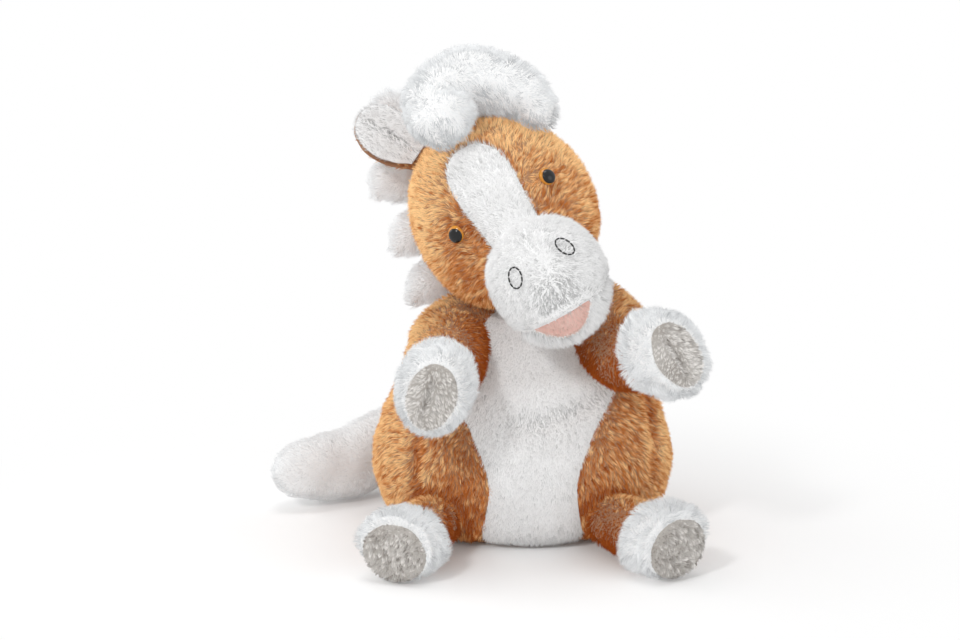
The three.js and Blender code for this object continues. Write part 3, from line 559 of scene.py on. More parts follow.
def pile_material(name, root, colours, sheen=0.3, tint=(1, 1, 1)):
    """Pile in colours from its deepest to its palest strands, with painted shade at the root: darkened to
    that share there, in place of the shadows strands cast on each other.
    """
    material, nodes, links, shader = new_material(name)
    uv = nodes.new("ShaderNodeUVMap")
    uv.uv_map = "OFBake"
    parts = nodes.new("ShaderNodeSeparateXYZ")
    links.new(uv.outputs["UV"], parts.inputs["Vector"])
    tip = ramp(nodes, list(zip(np.linspace(*TONES, len(colours)), colours)))
    links.new(parts.outputs["X"], tip.inputs["Fac"])
    rise = nodes.new("ShaderNodeMapRange")
    rise.interpolation_type = "SMOOTHSTEP"
    set_inputs(rise, {"From Max": 0.6, "To Min": root})
    links.new(parts.outputs["Y"], rise.inputs["Value"])
    shaded_at_root = nodes.new("ShaderNodeVectorMath")
    shaded_at_root.operation = "SCALE"
    links.new(tip.outputs["Color"], shaded_at_root.inputs["Vector"])
    links.new(rise.outputs["Result"], shaded_at_root.inputs["Scale"])
    links.new(shaded_at_root.outputs["Vector"], shader.inputs["Base Color"])
    set_inputs(shader, {
        "Roughness": 0.75, "Specular IOR Level": 0.03, "Sheen Weight": sheen, "Sheen Roughness": 0.4,
        "Sheen Tint": (*tint, 1),
    })
    return material


def noise(nodes, links, scale, detail=2.0):
    """Noise fixed to the object."""
    place = nodes.new("ShaderNodeTexCoord")
    node = nodes.new("ShaderNodeTexNoise")
    set_inputs(node, {"Scale": scale, "Detail": detail})
    links.new(place.outputs["Object"], node.inputs["Vector"])
    return node.outputs["Fac"]


def clouded(nodes, links, shader, stops, scale, detail=2.0):
    """A base colour that noise spreads over those stops."""
    colour = ramp(nodes, stops)
    links.new(noise(nodes, links, scale, detail), colour.inputs["Fac"])
    links.new(colour.outputs["Color"], shader.inputs["Base Color"])


def cloth_material(name, dark, light, grain=900.0, bump=0.3):
    """Knitted backing cloth: mottled, with a fine grain."""
    material, nodes, links, shader = new_material(name)
    clouded(nodes, links, shader, [(0.35, dark), (0.65, light)], 60.0, 6.0)
    raised = nodes.new("ShaderNodeBump")
    set_inputs(raised, {"Strength": bump, "Distance": 0.0004})
    links.new(noise(nodes, links, grain), raised.inputs["Height"])
    links.new(raised.outputs["Normal"], shader.inputs["Normal"])
    set_inputs(shader, {"Roughness": 0.9, "Sheen Weight": 0.2})
    return material


def gloss_material(name, centre, edge, roughness, specular):
    """Moulded eye plastic, a little uneven in depth."""
    material, nodes, links, shader = new_material(name)
    clouded(nodes, links, shader, [(0.3, centre), (0.7, edge)], 500.0)
    set_inputs(shader, {"Roughness": roughness, "Specular IOR Level": specular})
    return material


def grey(level):
    return (level, level, level)


CHESTNUT_CLOTH = cloth_material("chestnut_cloth", (0.30, 0.14, 0.07), (0.40, 0.20, 0.10))
WHITE_CLOTH = cloth_material("white_cloth", grey(0.85), grey(0.91))
GREY_CLOTH = cloth_material("grey_cloth", (0.36, 0.33, 0.30), (0.48, 0.45, 0.42))
PINK_CLOTH = cloth_material("pink_cloth", (0.72, 0.42, 0.36), (0.80, 0.50, 0.44))
LINING_CLOTH = cloth_material("lining_cloth", (0.70, 0.66, 0.58), (0.80, 0.77, 0.70))
FIBRE = cloth_material("filling_fibre", grey(0.82), grey(0.92), 300.0, 0.8)
THREAD = cloth_material("black_thread", grey(0.008), grey(0.03), 2500.0)
WASHER = cloth_material("washer_plastic", grey(0.66), grey(0.72), 400.0, 0.1)
AMBER = gloss_material("amber_plastic", (0.50, 0.17, 0.008), (0.70, 0.28, 0.015), 0.12, 0.5)
BLACK = gloss_material("black_plastic", grey(0.002), grey(0.004), 0.03, 0.42)
# Each pile's first number is the share it is darkened to at the root: painted shade between the strands
CHESTNUT_PILE = pile_material(
    "chestnut_pile", 0.45, [(0.32, 0.065, 0.009), (0.58, 0.185, 0.047), (1.0, 0.62, 0.29)], 0.1,
    (1, 0.52, 0.2))
WHITE_PILE = pile_material("white_pile", 0.72, [grey(0.42), grey(0.80), grey(0.94)])
FLUFF_PILE = pile_material(
    "fluff_pile", 0.84, [(0.48, 0.495, 0.51), (0.79, 0.805, 0.815), (0.93, 0.945, 0.955)])
GREY_PILE = pile_material("grey_pile", 0.5, [(0.26, 0.24, 0.22), (0.86, 0.83, 0.80)])
PINK_PILE = pile_material("pink_pile", 0.8, [(0.56, 0.34, 0.28), (0.86, 0.64, 0.57)])
PALE_PILE = pile_material("pale_pile", 0.6, [grey(0.26), grey(0.90)])

CHESTNUT = Plush(
    CHESTNUT_CLOTH, CHESTNUT_PILE, "chestnut_plush", density=2.2, length=4.2, radius=0.2, lean=52,
    ruffle=0.5, tuft=5, gather=0.55, mottle=0.23, curved=False)
WHITE = Plush(
    WHITE_CLOTH, WHITE_PILE, "white_plush", density=2.8, length=3.4, radius=0.17, lean=55,
    ruffle=0.4, tuft=7, gather=0.5, mottle=0.11, curved=False)
FLUFF = Plush(
    WHITE_CLOTH, FLUFF_PILE, "white_pile", density=2.4, length=5.2, radius=0.13, lean=46,
    ruffle=0.8, tuft=9, gather=0.5, mottle=0.16, curved=True)
LONG_FLUFF = FLUFF._replace(density=1.4)
SOLE = Plush(
    GREY_CLOTH, GREY_PILE, "grey_plush", density=2.6, length=2.6, radius=0.2, lean=40,
    ruffle=0.6, tuft=7, gather=0.6, mottle=0.28, curved=False)
PINK = Plush(
    PINK_CLOTH, PINK_PILE, "pink_plush", density=3.0, length=1.6, radius=0.15, lean=50,
    ruffle=0.5, tuft=6, gather=0.5, mottle=0.2, curved=False)
EAR_PALE = Plush(
    WHITE_CLOTH, PALE_PILE, "white_plush", density=2.4, length=3.0, radius=0.15, lean=65,
    ruffle=0.4, tuft=8, gather=0.4, mottle=0.15, curved=False)


# Torso
TORSO_FINE = spline(TORSO, 300)
BELLY_FINE = spline(BELLY, 200)


def torso_section(z):
    return [np.interp(z, TORSO_FINE[:, 0], TORSO_FINE[:, k]) for k in range(1, 5)]


def torso_point(z, angle, inset):
    width, front, back, lean = torso_section(z)
    depth = np.where(np.sin(angle) < 0, front, back)
    x = lean + (width - inset) * np.cos(angle)
    return np.stack([x, (depth - inset) * np.sin(angle), z + 0 * angle], axis=-1)


def off_torso(z, heading, stand_off):
    width, front, back, lean = torso_section(z)
    way = towards(heading, 0)
    reach = 1 / math.hypot(way[0] / width, way[1] / (front if way[1] < 0 else back)) + stand_off
    return np.array((lean + way[0] * reach, way[1] * reach, z))


def outside_torso(points):
    """About how far each point of the scene lies outside the torso."""
    x, y, z = (points - SHIFT).T
    width, front, back, lean = torso_section(z)
    depth = np.where(y < 0, front, back)
    off = (np.hypot((x - lean) / width, y / depth) - 1) * np.minimum(width, depth)
    return np.maximum(off, z - TORSO_TOP)


def belly_edge(z, sign):
    """The angle at which the belly panel ends to one side."""
    width, _, _, lean = torso_section(z)
    half = np.interp(z, BELLY_FINE[:, 0], BELLY_FINE[:, 1])
    return -np.arccos(np.clip((BELLY_MIDDLE + sign * half - lean) / width, -0.97, 0.97))


def back_seam(z):
    width, _, _, lean = torso_section(z)
    return np.arccos(np.clip((TORSO[0][4] - lean) / width, -1, 1))


def torso_folds(points):
    """Folds across the belly and pleats in the flanks."""
    x, y, z = points.T
    folds = sum(crease(x, z, path, *size) for path, size in zip(BELLY_FOLDS, BELLY_FOLD))
    pleats = sum(crease(z, x, path, *PLEAT) for path in PLEATS)
    return (folds + pleats) * (y < 0)


def torso_relief(points):
    """The folds, and the lumps of a slack plush sleeve."""
    return torso_folds(points) + 0.8 * waves(points, 42, 11) + 0.2 * waves(points, 17, 12)


def torso_panel(low, high, columns):
    """One panel of the torso, drawn in along its seams."""
    z = np.linspace(TORSO_FOOT, TORSO_TOP, 96)[:, None]
    share = np.linspace(0, 1, columns)[None]
    first, last = low(z), high(z)
    angle = first + (last - first) * share
    points = torso_point(z + 0 * angle, angle, PILE_RISE)
    from_seam = np.minimum(angle - first, last - angle) * torso_section(z)[0]
    depth, width = TORSO_SEAM
    seam = -depth * bell(from_seam / width)
    surface = Surface(points.reshape(-1, 3), grid_triangles(len(z), columns, False))
    return surface.pushed(seam.ravel() + torso_relief(surface.points))


def placed(surface):
    return surface.moved(np.eye(3), SHIFT)


def torso_groom(points):
    """Pile falls down the front, and outwards and back round the flanks."""
    x, y, _ = (points - SHIFT).T
    flank = np.clip((np.abs(x - BELLY_MIDDLE) - 40) / 25, 0, 1)[:, None]
    side = np.sign(x - BELLY_MIDDLE)[:, None]
    down = np.array((0, -0.1, -1.0))
    return down * (1 - 0.4 * flank) + flank * np.concatenate([0.5 * side, 0 * side + 0.3, 0 * side], axis=1)


def leg_shadow_mask(points):
    """1 along the crease over each leg, where a painted shadow falls, and 0 away from it."""
    total = np.zeros(len(points))
    for name in ("leg_right", "leg_left"):
        turned, root = limb_frame(name)
        x, y, z = ((points - root) @ turned).T
        total += bell((np.hypot(x, y) - LEG.sleeve - 1) / 3) * (y > -4) * (z > -12)
    return total


def flank_shade(points, normals):
    """Painted light and shade: the nap is darker beside the belly, in the pleats and in the shadow over the
    legs, and a painted golden sheen lightens it round the flanks.
    """
    x, y, _ = (points - SHIFT).T
    front = np.interp(np.abs(x - BELLY_MIDDLE), [25, 75], [-0.12, 0.30])
    folds = 0.16 * torso_folds(points - SHIFT) - 0.5 * leg_shadow_mask(points)
    return np.where(y < 10, front, 0.1) + folds


# Painted shade: the belly's white pile is darker in its folds
def belly_shade(points, normals):
    return 0.05 + 0.13 * torso_folds(points - SHIFT)


def make_torso():
    right = (lambda z: back_seam(z) - 2 * math.pi, lambda z: belly_edge(z, -1))
    panels = {
        "belly_panel": (lambda z: belly_edge(z, -1), lambda z: belly_edge(z, 1), 80, WHITE, belly_shade),
        "side_panel_right": (*right, 130, CHESTNUT, flank_shade),
        "side_panel_left": (lambda z: belly_edge(z, 1), back_seam, 130, CHESTNUT, flank_shade),
    }
    for seed, (name, (low, high, columns, look, shade)) in enumerate(panels.items()):
        skin = placed(torso_panel(low, high, columns))
        plush_piece(name, skin, look, Mount("torso"), torso_groom, 100 + seed, TORSO_CLOTH,
                    shade=shade)


def make_hem():
    """The turned-in edge round the hand opening, as a ring of one rounded section."""
    t = np.linspace(0, 2 * math.pi, 120, endpoint=False)
    section = spline([
        (1.5, 5.0), (0.6, 3.0), (1.4, 0.9), (4.0, 0.0), (HEM_DEPTH - 3, 0.0), (HEM_DEPTH - 0.6, 0.8),
        (HEM_DEPTH, 2.4), (HEM_DEPTH - 2, 4.0), (6.0, 4.6), (1.5, 5.0),
    ], 27)[:-1]
    rings = np.stack([torso_point(0 * t, t, inset) + (0, 0, z) for inset, z in section])
    points = rings.reshape(-1, 3)
    triangles = grid_triangles(len(rings) + 1, len(t), True) % len(points)
    cloth_piece("opening_hem_skin", placed(Surface(points, triangles[:, ::-1])), CHESTNUT, Mount("torso"),
                ["opening_hem"])


# Limbs
def limb_frame(name):
    limb = LIMBS[name]
    return aimed(towards(limb.heading, limb.pitch), limb.twist), pivot(name + "_swing")


def sleeve_surface(limb, root, way):
    """A sleeve from the shoulder's rows to the wrist."""
    kind = limb.kind
    free = [(0.4, kind.sleeve), (0.75, (kind.sleeve + kind.wrist) / 2), (1.04, kind.wrist)]
    rows = [(*(root + row[:3]), row[3]) for row in limb.shoulder]
    rows += [(*(root + share * kind.sleeve_length * way), radius) for share, radius in free]
    run = spline(rows, 64)
    run[:, 3] -= PILE_RISE
    return curved_loft(run, 72)


def cuff_surface(kind):
    start, end = kind.sleeve_length - 1.0, kind.length - 1.5
    run = spline([
        (start, kind.wrist - 2, kind.wrist - 2),
        (start + 1.5, kind.wrist + 1.5, kind.wrist + 1.5),
        (start + 5, kind.cuff_width - 0.6, kind.cuff_height - 0.6),
        ((start + end) / 2, kind.cuff_width, kind.cuff_height),
        (end - 5, kind.cuff_width - 1.2, kind.cuff_height - 1.2),
        (end - 0.6, kind.sole_width + 4.5, kind.sole_height + 3.5),
        (end, kind.sole_width - 1, kind.sole_height - 1),
    ], 48)
    run[:, 1:] -= FLUFF_RISE
    return oval_loft(run)


def sole_parting(kind, x, y):
    height = kind.sole_height
    return crease(y, x, [(-0.8 * height, -2.5), (0, -1.5), (0.8 * height, -2.0)], kind.parting, 1.6)


def sole_surface(kind):
    """A padded oval with a rounded rim, parted down its length where the kind has a parting."""
    end, width, height = kind.length, kind.sole_width, kind.sole_height
    run = spline([
        (end - 5.0, width - 0.8, height - 0.8),
        (end - 2.6, width, height),
        (end - 0.8, width - 0.5, height - 0.5),
        (end + 0.6, width * 0.8, height * 0.84),
        (end + 1.1, width * 0.45, height * 0.5),
        (end + 1.2, width * 0.05, height * 0.05),
    ], 40)
    surface = oval_loft(run)
    x, y, z = surface.points.T
    z = z + sole_parting(kind, x, y) * (z > end - 0.9)
    return Surface(np.stack([x, y - kind.sole_drop, z], axis=1), surface.triangles)


def make_limb(name, seed):
    limb = LIMBS[name]
    kind = limb.kind
    turned, root = limb_frame(name)
    way = turned[:, 2]
    hinge = Mount("torso", name, root - LIMB_BEND[0] * way, root + LIMB_BEND[1] * way)
    rigid = Mount(name)
    outer = unit(np.array((math.copysign(0.8, root[0] - SHIFT[0] - BELLY_MIDDLE), -0.2, 0.6)))

    def lumps(surface, amount, salt):
        return surface.pushed(amount * waves(surface.points, 14, seed + salt))

    def in_limb(points):
        return ((points - root) @ turned).T

    def showing(points, normals):
        """Pile is left off where the torso, the head or the cuff hides it."""
        hidden = (outside_torso(points) < -1) | inside_head(points, 1)
        return np.where(hidden | (in_limb(points)[2] > kind.sleeve_length + 1.5), 0.0, 1.0)

    sleeve = lumps(sleeve_surface(limb, root, way), 0.5, 1)
    # The sleeve's shade is painted light and shade: lighter on its outer, upper side and darker on its inner
    # side towards the body
    plush_piece(f"{name}_sleeve", sleeve, CHESTNUT, hinge,
                lambda p: way + np.array((0, 0, -0.5)), seed + 2, shorten=showing,
                shade=lambda p, n: 0.62 * (n @ outer) - 0.2)

    def across_sole(points):
        """0 in the middle of the sole and 1 at its rim."""
        x, y, _ = in_limb(points)
        return np.hypot(x / kind.sole_width, (y + kind.sole_drop) / kind.sole_height)

    def off_sole(points, normals):
        """Pile is left off over the sole, and short near the floor."""
        at_end = in_limb(points)[2] > kind.length - 6
        near = np.where(at_end, np.clip((across_sole(points) - 0.96) * 8, 0, 1), 1.0)
        return near * np.clip(0.35 + points[:, 2] / 8, 0, 1)

    def cuff_groom(points):
        """Pile parts half way along the cuff, and runs out from the sole."""
        x, y, z = in_limb(points)
        share = (z - kind.sleeve_length) / (kind.length - kind.sleeve_length)
        out = unit(np.stack([x, y, 0 * z], axis=1)) @ turned.T
        return (2.2 * np.clip(share, 0, 1) - 1)[:, None] * way + 0.8 * out

    cuff = lumps(cuff_surface(kind), 0.6, 3).moved(turned, root)
    plush_piece(f"{name}_cuff", cuff, FLUFF, rigid, cuff_groom, seed + 4, shorten=off_sole)

    def sole_shade(points, normals):
        """Painted light and shade: lighter or darker by kind, and darker at the rim and in the parting."""
        x, y, _ = in_limb(points)
        rim = np.clip((across_sole(points) - 0.86) / 0.14, 0, 1)
        return kind.sole_tone - 0.3 * rim + 0.24 * sole_parting(kind, x, y)

    def within_rim(points, normals):
        """Pile is short at the rim and left off below it."""
        share = np.clip((1.08 - across_sole(points)) / 0.25, 0.3, 1)
        return np.where(in_limb(points)[2] > kind.length - 3, share, 0.0)

    def sole_groom(points):
        """Pile falls, and away from the parting to both sides."""
        away = np.tanh((in_limb(points)[0] + 2) / 2) * (kind.parting > 0)
        return away[:, None] * turned[:, 0] + np.array((0, 0, -0.6))

    sole = sole_surface(kind).moved(turned, root)
    plush_piece(f"{name}_sole", sole, SOLE, rigid, sole_groom, seed + 5, shorten=within_rim,
                shade=sole_shade)


# Tail
def make_tail():
    run = spline(TAIL, 60)
    places = np.array([off_torso(z, heading, off) for heading, off, z, _ in run])
    radii = run[:, 3:4]
    root = places[0] - (0, 8, 0)
    rows = np.concatenate([
        np.concatenate([[root], places]), np.concatenate([radii[:1] * 0.9, radii])], axis=1)
    skin = fluffy_loft(rows)
    skin = placed(skin.pushed(0.6 * waves(skin.points, 22, 41)))
    tip = places[-1] + SHIFT
    look = LONG_FLUFF._replace(density=1.2, length=4.5, lean=60, ruffle=0.4)
    # Painted light: the tail's fluff is made lighter, to offset the shade and warm bounce light it gets
    # beside the body
    plush_piece("tail", skin, look, Mount("tail"), lambda p: unit(tip - p + (0, 0, 8)), 42,
                shade=lambda p, n: 0.4, nodes=["tail_cover"])


# Head
HEAD_TURN = turn("Y", HEAD_TILT) @ turn("Z", HEAD_YAW)
HEAD_PLACE = pivot("head_tilt") + HEAD_TURN @ np.array((0, -HEAD_FORWARD, HEAD_RISE))
BLAZE_FINE = spline(BLAZE, 100)


def on_head(surface):
    return surface.moved(HEAD_TURN, HEAD_PLACE)


def in_head(points):
    return (points - HEAD_PLACE) @ HEAD_TURN


def inside_head(points, depth):
    """Whether each point of the scene lies about that deep in the head, or deeper."""
    return egg_depth(in_head(points), HEAD) < -depth


def egg_depth(points, egg):
    """How far outside an egg each point is, about."""
    x, y, z = points.T
    q = np.stack([x / egg.side, y / np.where(y < 0, egg.front, egg.back),
                  z / np.where(z < 0, egg.jaw, egg.crown)], axis=1)
    size = np.linalg.norm(q, axis=1)
    way = q / np.maximum(size, 1e-9)[:, None]
    power = (2 + egg.fullness * np.maximum(0, -way[:, 2]))[:, None]
    return (size * (np.abs(way) ** power).sum(1) ** (1 / power[:, 0]) - 1) * egg.side


def head_depth(points):
    a, b = egg_depth(points, HEAD), egg_depth(points - MUZZLE_PLACE, MUZZLE)
    h = np.clip(0.5 + 0.5 * (b - a) / MUZZLE_BLEND, 0, 1)
    return b + (a - b) * h - MUZZLE_BLEND * h * (1 - h)


def head_surface():
    """The whole head and muzzle: along each way out from a middle, the place where the outside begins."""
    ways = ball_ways(210, 330, 0.012)
    flat = ways.reshape(-1, 3)
    low, high = np.full(len(flat), 5.0), np.full(len(flat), 130.0)
    for _ in range(36):
        middle = (low + high) / 2
        outside = head_depth(HEAD_CENTRE + flat * middle[:, None]) > 0
        high, low = np.where(outside, middle, high), np.where(outside, low, middle)
    return loft((HEAD_CENTRE + flat * low[:, None]).reshape(ways.shape))


def in_mouth(points):
    x, y, z = points.T
    share = (x - MOUTH_MIDDLE) / MOUTH_HALF_WIDTH
    bottom = MOUTH_TOP + (MOUTH_LOWER - MOUTH_TOP) * (1 - share**2)
    return (np.abs(share) < 1) & (z < MOUTH_TOP) & (z > bottom) & (y < MUZZLE_PLACE[1])


def in_muzzle(points):
    return egg_depth(points - MUZZLE_PLACE, MUZZLE) < egg_depth(points, HEAD)


def off_blaze(points):
    """How far each point is to the side of the blaze's edge, or inside it where that is negative."""
    x, _, z = points.T
    return np.abs(x - BLAZE_MIDDLE) - np.interp(z, BLAZE_FINE[:, 0], BLAZE_FINE[:, 1])


def on_face(points):
    """In front of the blaze's end, under its top and above the muzzle."""
    return (points[:, 1] < -BLAZE_DEPTH) & (points[:, 2] < BLAZE[-1][0]) & ~in_muzzle(points)


HEAD_REGIONS = [
    "head_panel_right", "head_panel_left", "face_blaze", "muzzle_cover", "chin_cover", "mouth_lining"]


def head_regions(points):
    """The number of each point's panel."""
    region = np.where(points[:, 0] < 0, 0, 1)
    region[(off_blaze(points) < 0) & on_face(points)] = 2
    muzzle = in_muzzle(points)
    region[muzzle] = 3
    region[muzzle & (points[:, 2] < MOUTH_TOP)] = 4
    region[in_mouth(points)] = 5
    return region


def on_egg(egg, x, z):
    """A point on the front of an egg, and the way out of it there."""
    height = egg.jaw if z < 0 else egg.crown
    y = -egg.front * math.sqrt(1 - (x / egg.side) ** 2 - (z / height) ** 2)
    way = unit(np.array((x / egg.side ** 2, y / egg.front ** 2, z / height**2)))
    return np.array((x, y, z)), way


SIDES = {"right": -1, "left": 1}
EYES = {name: on_egg(HEAD, sign * EYE_SIDE, EYE_HEIGHT) for name, sign in SIDES.items()}
NOSTRILS = {
    name: on_egg(MUZZLE, sign * NOSTRIL_SIDE, NOSTRIL_HEIGHT - MUZZLE_PLACE[2])
    for name, sign in SIDES.items()
}


def dent(points, place, width):
    return bell(np.linalg.norm(points - place, axis=1) / width)


def head_relief(points):
    """Pulls at the eyes, the nostrils and the seams, the sunk mouth, and the lumps of the stuffing."""
    x, y, z = points.T
    muzzle = in_muzzle(points)
    eyes = sum(dent(points, place, EYE_PULL[1]) for place, _ in EYES.values())
    nostrils = sum(dent(points, place + MUZZLE_PLACE, NOSTRIL_PULL[1]) for place, _ in NOSTRILS.values())
    middle_seam = sum(crease(z, x, path, *MUZZLE_SEAM) for path in MUZZLE_SEAMS)
    middle_seam = middle_seam * (muzzle & (y < MUZZLE_PLACE[1]))
    blaze_seam = bell(off_blaze(points) / BLAZE_SEAM[1]) * on_face(points)
    lumps = 0.6 * waves(points, 34, 21) + 0.2 * waves(points, 13, 22)
    philtrum = dent(points, PHILTRUM, PHILTRUM_PULL[1])
    pulls = EYE_PULL[0] * eyes + NOSTRIL_PULL[0] * nostrils + BLAZE_SEAM[0] * blaze_seam
    pulls = pulls + PHILTRUM_PULL[0] * philtrum
    return middle_seam - pulls - MOUTH_INSET * in_mouth(points) + lumps


def eased_borders(surface, region, rounds=8):
    """The surface with the borders between its regions smoothed along their run."""
    edges = np.concatenate([surface.triangles[:, [k, (k + 1) % 3]] for k in range(3)])
    owner = np.tile(region, 3)
    key = np.minimum(*edges.T) * len(surface.points) + np.maximum(*edges.T)
    pairs = np.argsort(key, kind="stable").reshape(-1, 2)
    border = edges[pairs[owner[pairs[:, 0]] != owner[pairs[:, 1]], 0]]
    points = surface.points.copy()
    for _ in range(rounds):
        total, count = np.zeros_like(points), np.zeros(len(points))
        for a, b in (border.T, border.T[::-1]):
            np.add.at(total, a, points[b])
            np.add.at(count, a, 1)
        two = count == 2
        points[two] = 0.5 * points[two] + 0.5 * total[two] / 2
    return Surface(points, surface.triangles)


def head_groom(points):
    """Pile runs back over the head, away from the muzzle."""
    back = unit(in_head(points) - MUZZLE_PLACE)
    return (0.7 * back + np.array((0, 0.3, -0.35))) @ HEAD_TURN.T


def muzzle_groom(points):
    """Pile runs out over the muzzle, and up from the lip."""
    local = in_head(points)
    way = unit((local - MUZZLE_PLACE) * (1, 0.3, 1)) + np.array((0, 0, -0.5))
    lip = (local[:, 2] > MOUTH_TOP) & (local[:, 2] < MOUTH_TOP + 6)
    way[lip, 2] = 0.8
    return way @ HEAD_TURN.T


def head_shade(points, normals):
    """Painted light and shade: the nap is lighter and golden on the crown and round the sides, where light
    and sheen catch, and darker on the face, in the dents and along the seams.
    """
    local = in_head(points)
    front = np.maximum(-normals[:, 1], 0) ** 2
    crown = np.clip(local[:, 2] / 40, -0.5, 1)
    return np.clip(0.34 + 0.34 * crown - 0.32 * front, -0.05, 0.45) + 0.14 * head_relief(local)


def face_shade(points, normals):
    """Painted shade: white pile is darker along the seams and dents and under the nose."""
    local = in_head(points)
    under = np.clip((-13 - local[:, 2]) / 14, 0, 1) * in_muzzle(local) * bell(local[:, 0] / 19)
    return 0.08 + 0.16 * head_relief(local) - 0.5 * under


def off_face(points, normals):
    """Pile is short round the eyes and along the upper lip."""
    local = in_head(points)
    x, y, z = local.T
    at_lip = (np.abs(x - MOUTH_MIDDLE) < MOUTH_HALF_WIDTH + 1) & (z > MOUTH_TOP) & (y < MUZZLE_PLACE[1])
    share = np.where(at_lip, np.clip(0.1 + (z - MOUTH_TOP) / 8, 0, 1), 1.0)
    for place, _ in EYES.values():
        share *= np.clip((np.linalg.norm(local - place, axis=1) - 3.2) / 3.0, 0, 1)
    return share


def make_head():
    surface = head_surface()
    surface = surface.pushed(head_relief(surface.points) - PILE_RISE)
    region = head_regions(surface.points[surface.triangles].mean(1))
    surface = eased_borders(surface, region)
    chin_look = WHITE._replace(length=5.4, lean=44, gather=0.6)
    looks = [
        (CHESTNUT, head_groom, head_shade), (CHESTNUT, head_groom, head_shade),
        (WHITE, head_groom, face_shade), (WHITE, muzzle_groom, face_shade),
        (chin_look, muzzle_groom, None), (PINK, muzzle_groom, None),
    ]
    for number, (name, (look, groom, shade)) in enumerate(zip(HEAD_REGIONS, looks)):
        skin = on_head(surface.part(region == number))
        plush_piece(name, skin, look, Mount("head"), groom, 200 + number, HEAD_CLOTH, off_face,
                    shade)


def make_neck():
    skin = loft(ball_ways(40, 72, 0.35) * (NECK_BALL - PILE_RISE)).moved(np.eye(3), pivot("head_tilt"))
    up = np.array((0, 0, 1.0))
    hinge = Mount("torso", "neck", *(pivot("head_tilt") - below * up for below in NECK_BEND))
    plush_piece("neck_band", skin, CHESTNUT, hinge, lambda p: -up, 61,
                shorten=lambda p, n: np.where(inside_head(p, 1), 0.0, 1.0))


# Eyes and nostrils
def ride_on_head(piece, node):
    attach(piece, "head")
    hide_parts(node)


def make_eyes():
    quarter = np.linspace(0, math.pi / 2 - 0.04, 12)

    def arch(radius, foot, rise):
        return [(radius * math.cos(a), foot + rise * math.sin(a)) for a in quarter]

    iris = [(EYE_RADIUS - 0.3, 0.0), *arch(EYE_RADIUS, *IRIS_DOME)]
    pupil = [(PUPIL_RADIUS * 0.6, 1.0), (PUPIL_RADIUS, 1.6), *arch(PUPIL_RADIUS, *PUPIL_DOME)]
    for name, (place, way) in EYES.items():
        turned = HEAD_TURN @ aimed(way, 0)
        where = HEAD_PLACE + HEAD_TURN @ place
        for part, profile, aside, material, slot in (
            ("iris", iris, 0 * PUPIL_ASIDE, AMBER, "eye_amber"),
            ("pupil", pupil, PUPIL_ASIDE, BLACK, "eye_black"),
        ):
            dome = oval_loft(np.array([(z, r, r) for r, z in profile]), 48)
            dome = dome.moved(np.eye(3), aside).moved(turned, where)
            ride_on_head(mesh_object(f"eye_{name}_{part}_dome", dome, material), f"eye_{name}_{part}")


def stitch(start, end, radius):
    """One short stitch of thread with round ends."""
    length = np.linalg.norm(end - start)
    rows = [(-0.4 * radius, 0.3), (0.0, 0.75), (radius, 1), (length - radius, 1), (length, 0.75),
            (length + 0.4 * radius, 0.3)]
    run = np.array([(z, r * radius, r * radius) for z, r in rows])
    return oval_loft(run, 10).moved(aimed(unit(end - start), 0), start)


def joined(surfaces):
    starts = np.cumsum([0] + [len(s.points) for s in surfaces[:-1]])
    return Surface(
        np.concatenate([s.points for s in surfaces]),
        np.concatenate([s.triangles + n for s, n in zip(surfaces, starts)]),
    )


def make_nostrils():
    for name, sign in SIDES.items():
        place, way = NOSTRILS[name]
        flat = aimed(way, sign * NOSTRIL_TILT)
        t = np.linspace(0, 2 * math.pi, 2 * STITCHES, endpoint=False)
        rim = place + np.stack([NOSTRIL_WIDTH * np.cos(t), NOSTRIL_TALL * np.sin(t), 0 * t], 1) @ flat.T
        seats = [on_egg(MUZZLE, x, z) for x, _, z in rim]
        line = np.array([at + 0.3 * out for at, out in seats]) + MUZZLE_PLACE
        ends = np.roll(line, -2, axis=0) * STITCH_SHARE + line * (1 - STITCH_SHARE)
        stitches = [stitch(line[n], ends[n], THREAD_RADIUS) for n in range(0, len(line), 2)]
        piece = mesh_object(f"nostril_{name}_stitches", on_head(joined(stitches)), THREAD)
        ride_on_head(piece, f"nostril_{name}")


# Ears
def ear_frame(ear):
    height = HEAD.crown * math.sqrt(1 - (EAR_SIDE / HEAD.side) ** 2 - (EAR_BACK / HEAD.back) ** 2)
    turned = turn("Y", ear.sign * ear.splay) @ turn("X", -ear.lean)
    return HEAD_TURN @ turned, HEAD_PLACE + HEAD_TURN @ np.array((ear.sign * EAR_SIDE, EAR_BACK, height))


def ear_fold(along):
    """Where the fold runs across an ear, as a share of its half width."""
    return 0.15 * np.sin(math.pi * along) - 0.05


def ear_leaf(low, high, width, front, back, fold):
    """A cupped leaf between two depths, its edges coming forward, with a fold down its front."""
    run = spline(EAR_OUTLINE, 44)
    share = np.concatenate([np.linspace(-1, 1, 41), np.linspace(1, -1, 41)[1:-1]])
    facing = np.concatenate([np.ones(41), np.zeros(39)])
    along, half = run[:, :1], run[:, 1:]
    edge = np.sqrt(np.clip(1 - share**4, 0, 1))
    depth = (front + back) / 2 + (front - back) / 2 * edge * np.where(facing > 0, 1, -1)
    ends = np.sin(math.pi * np.clip(along, 0, 1)) ** 0.5
    groove = fold * ends * facing * bell((share - ear_fold(along)) / EAR_FOLD_WIDTH)
    y = depth - EAR_CUP * (share * half) ** 2 + groove
    return loft(np.stack([share * half * width, y, low + (high - low) * along + 0 * share], axis=-1))


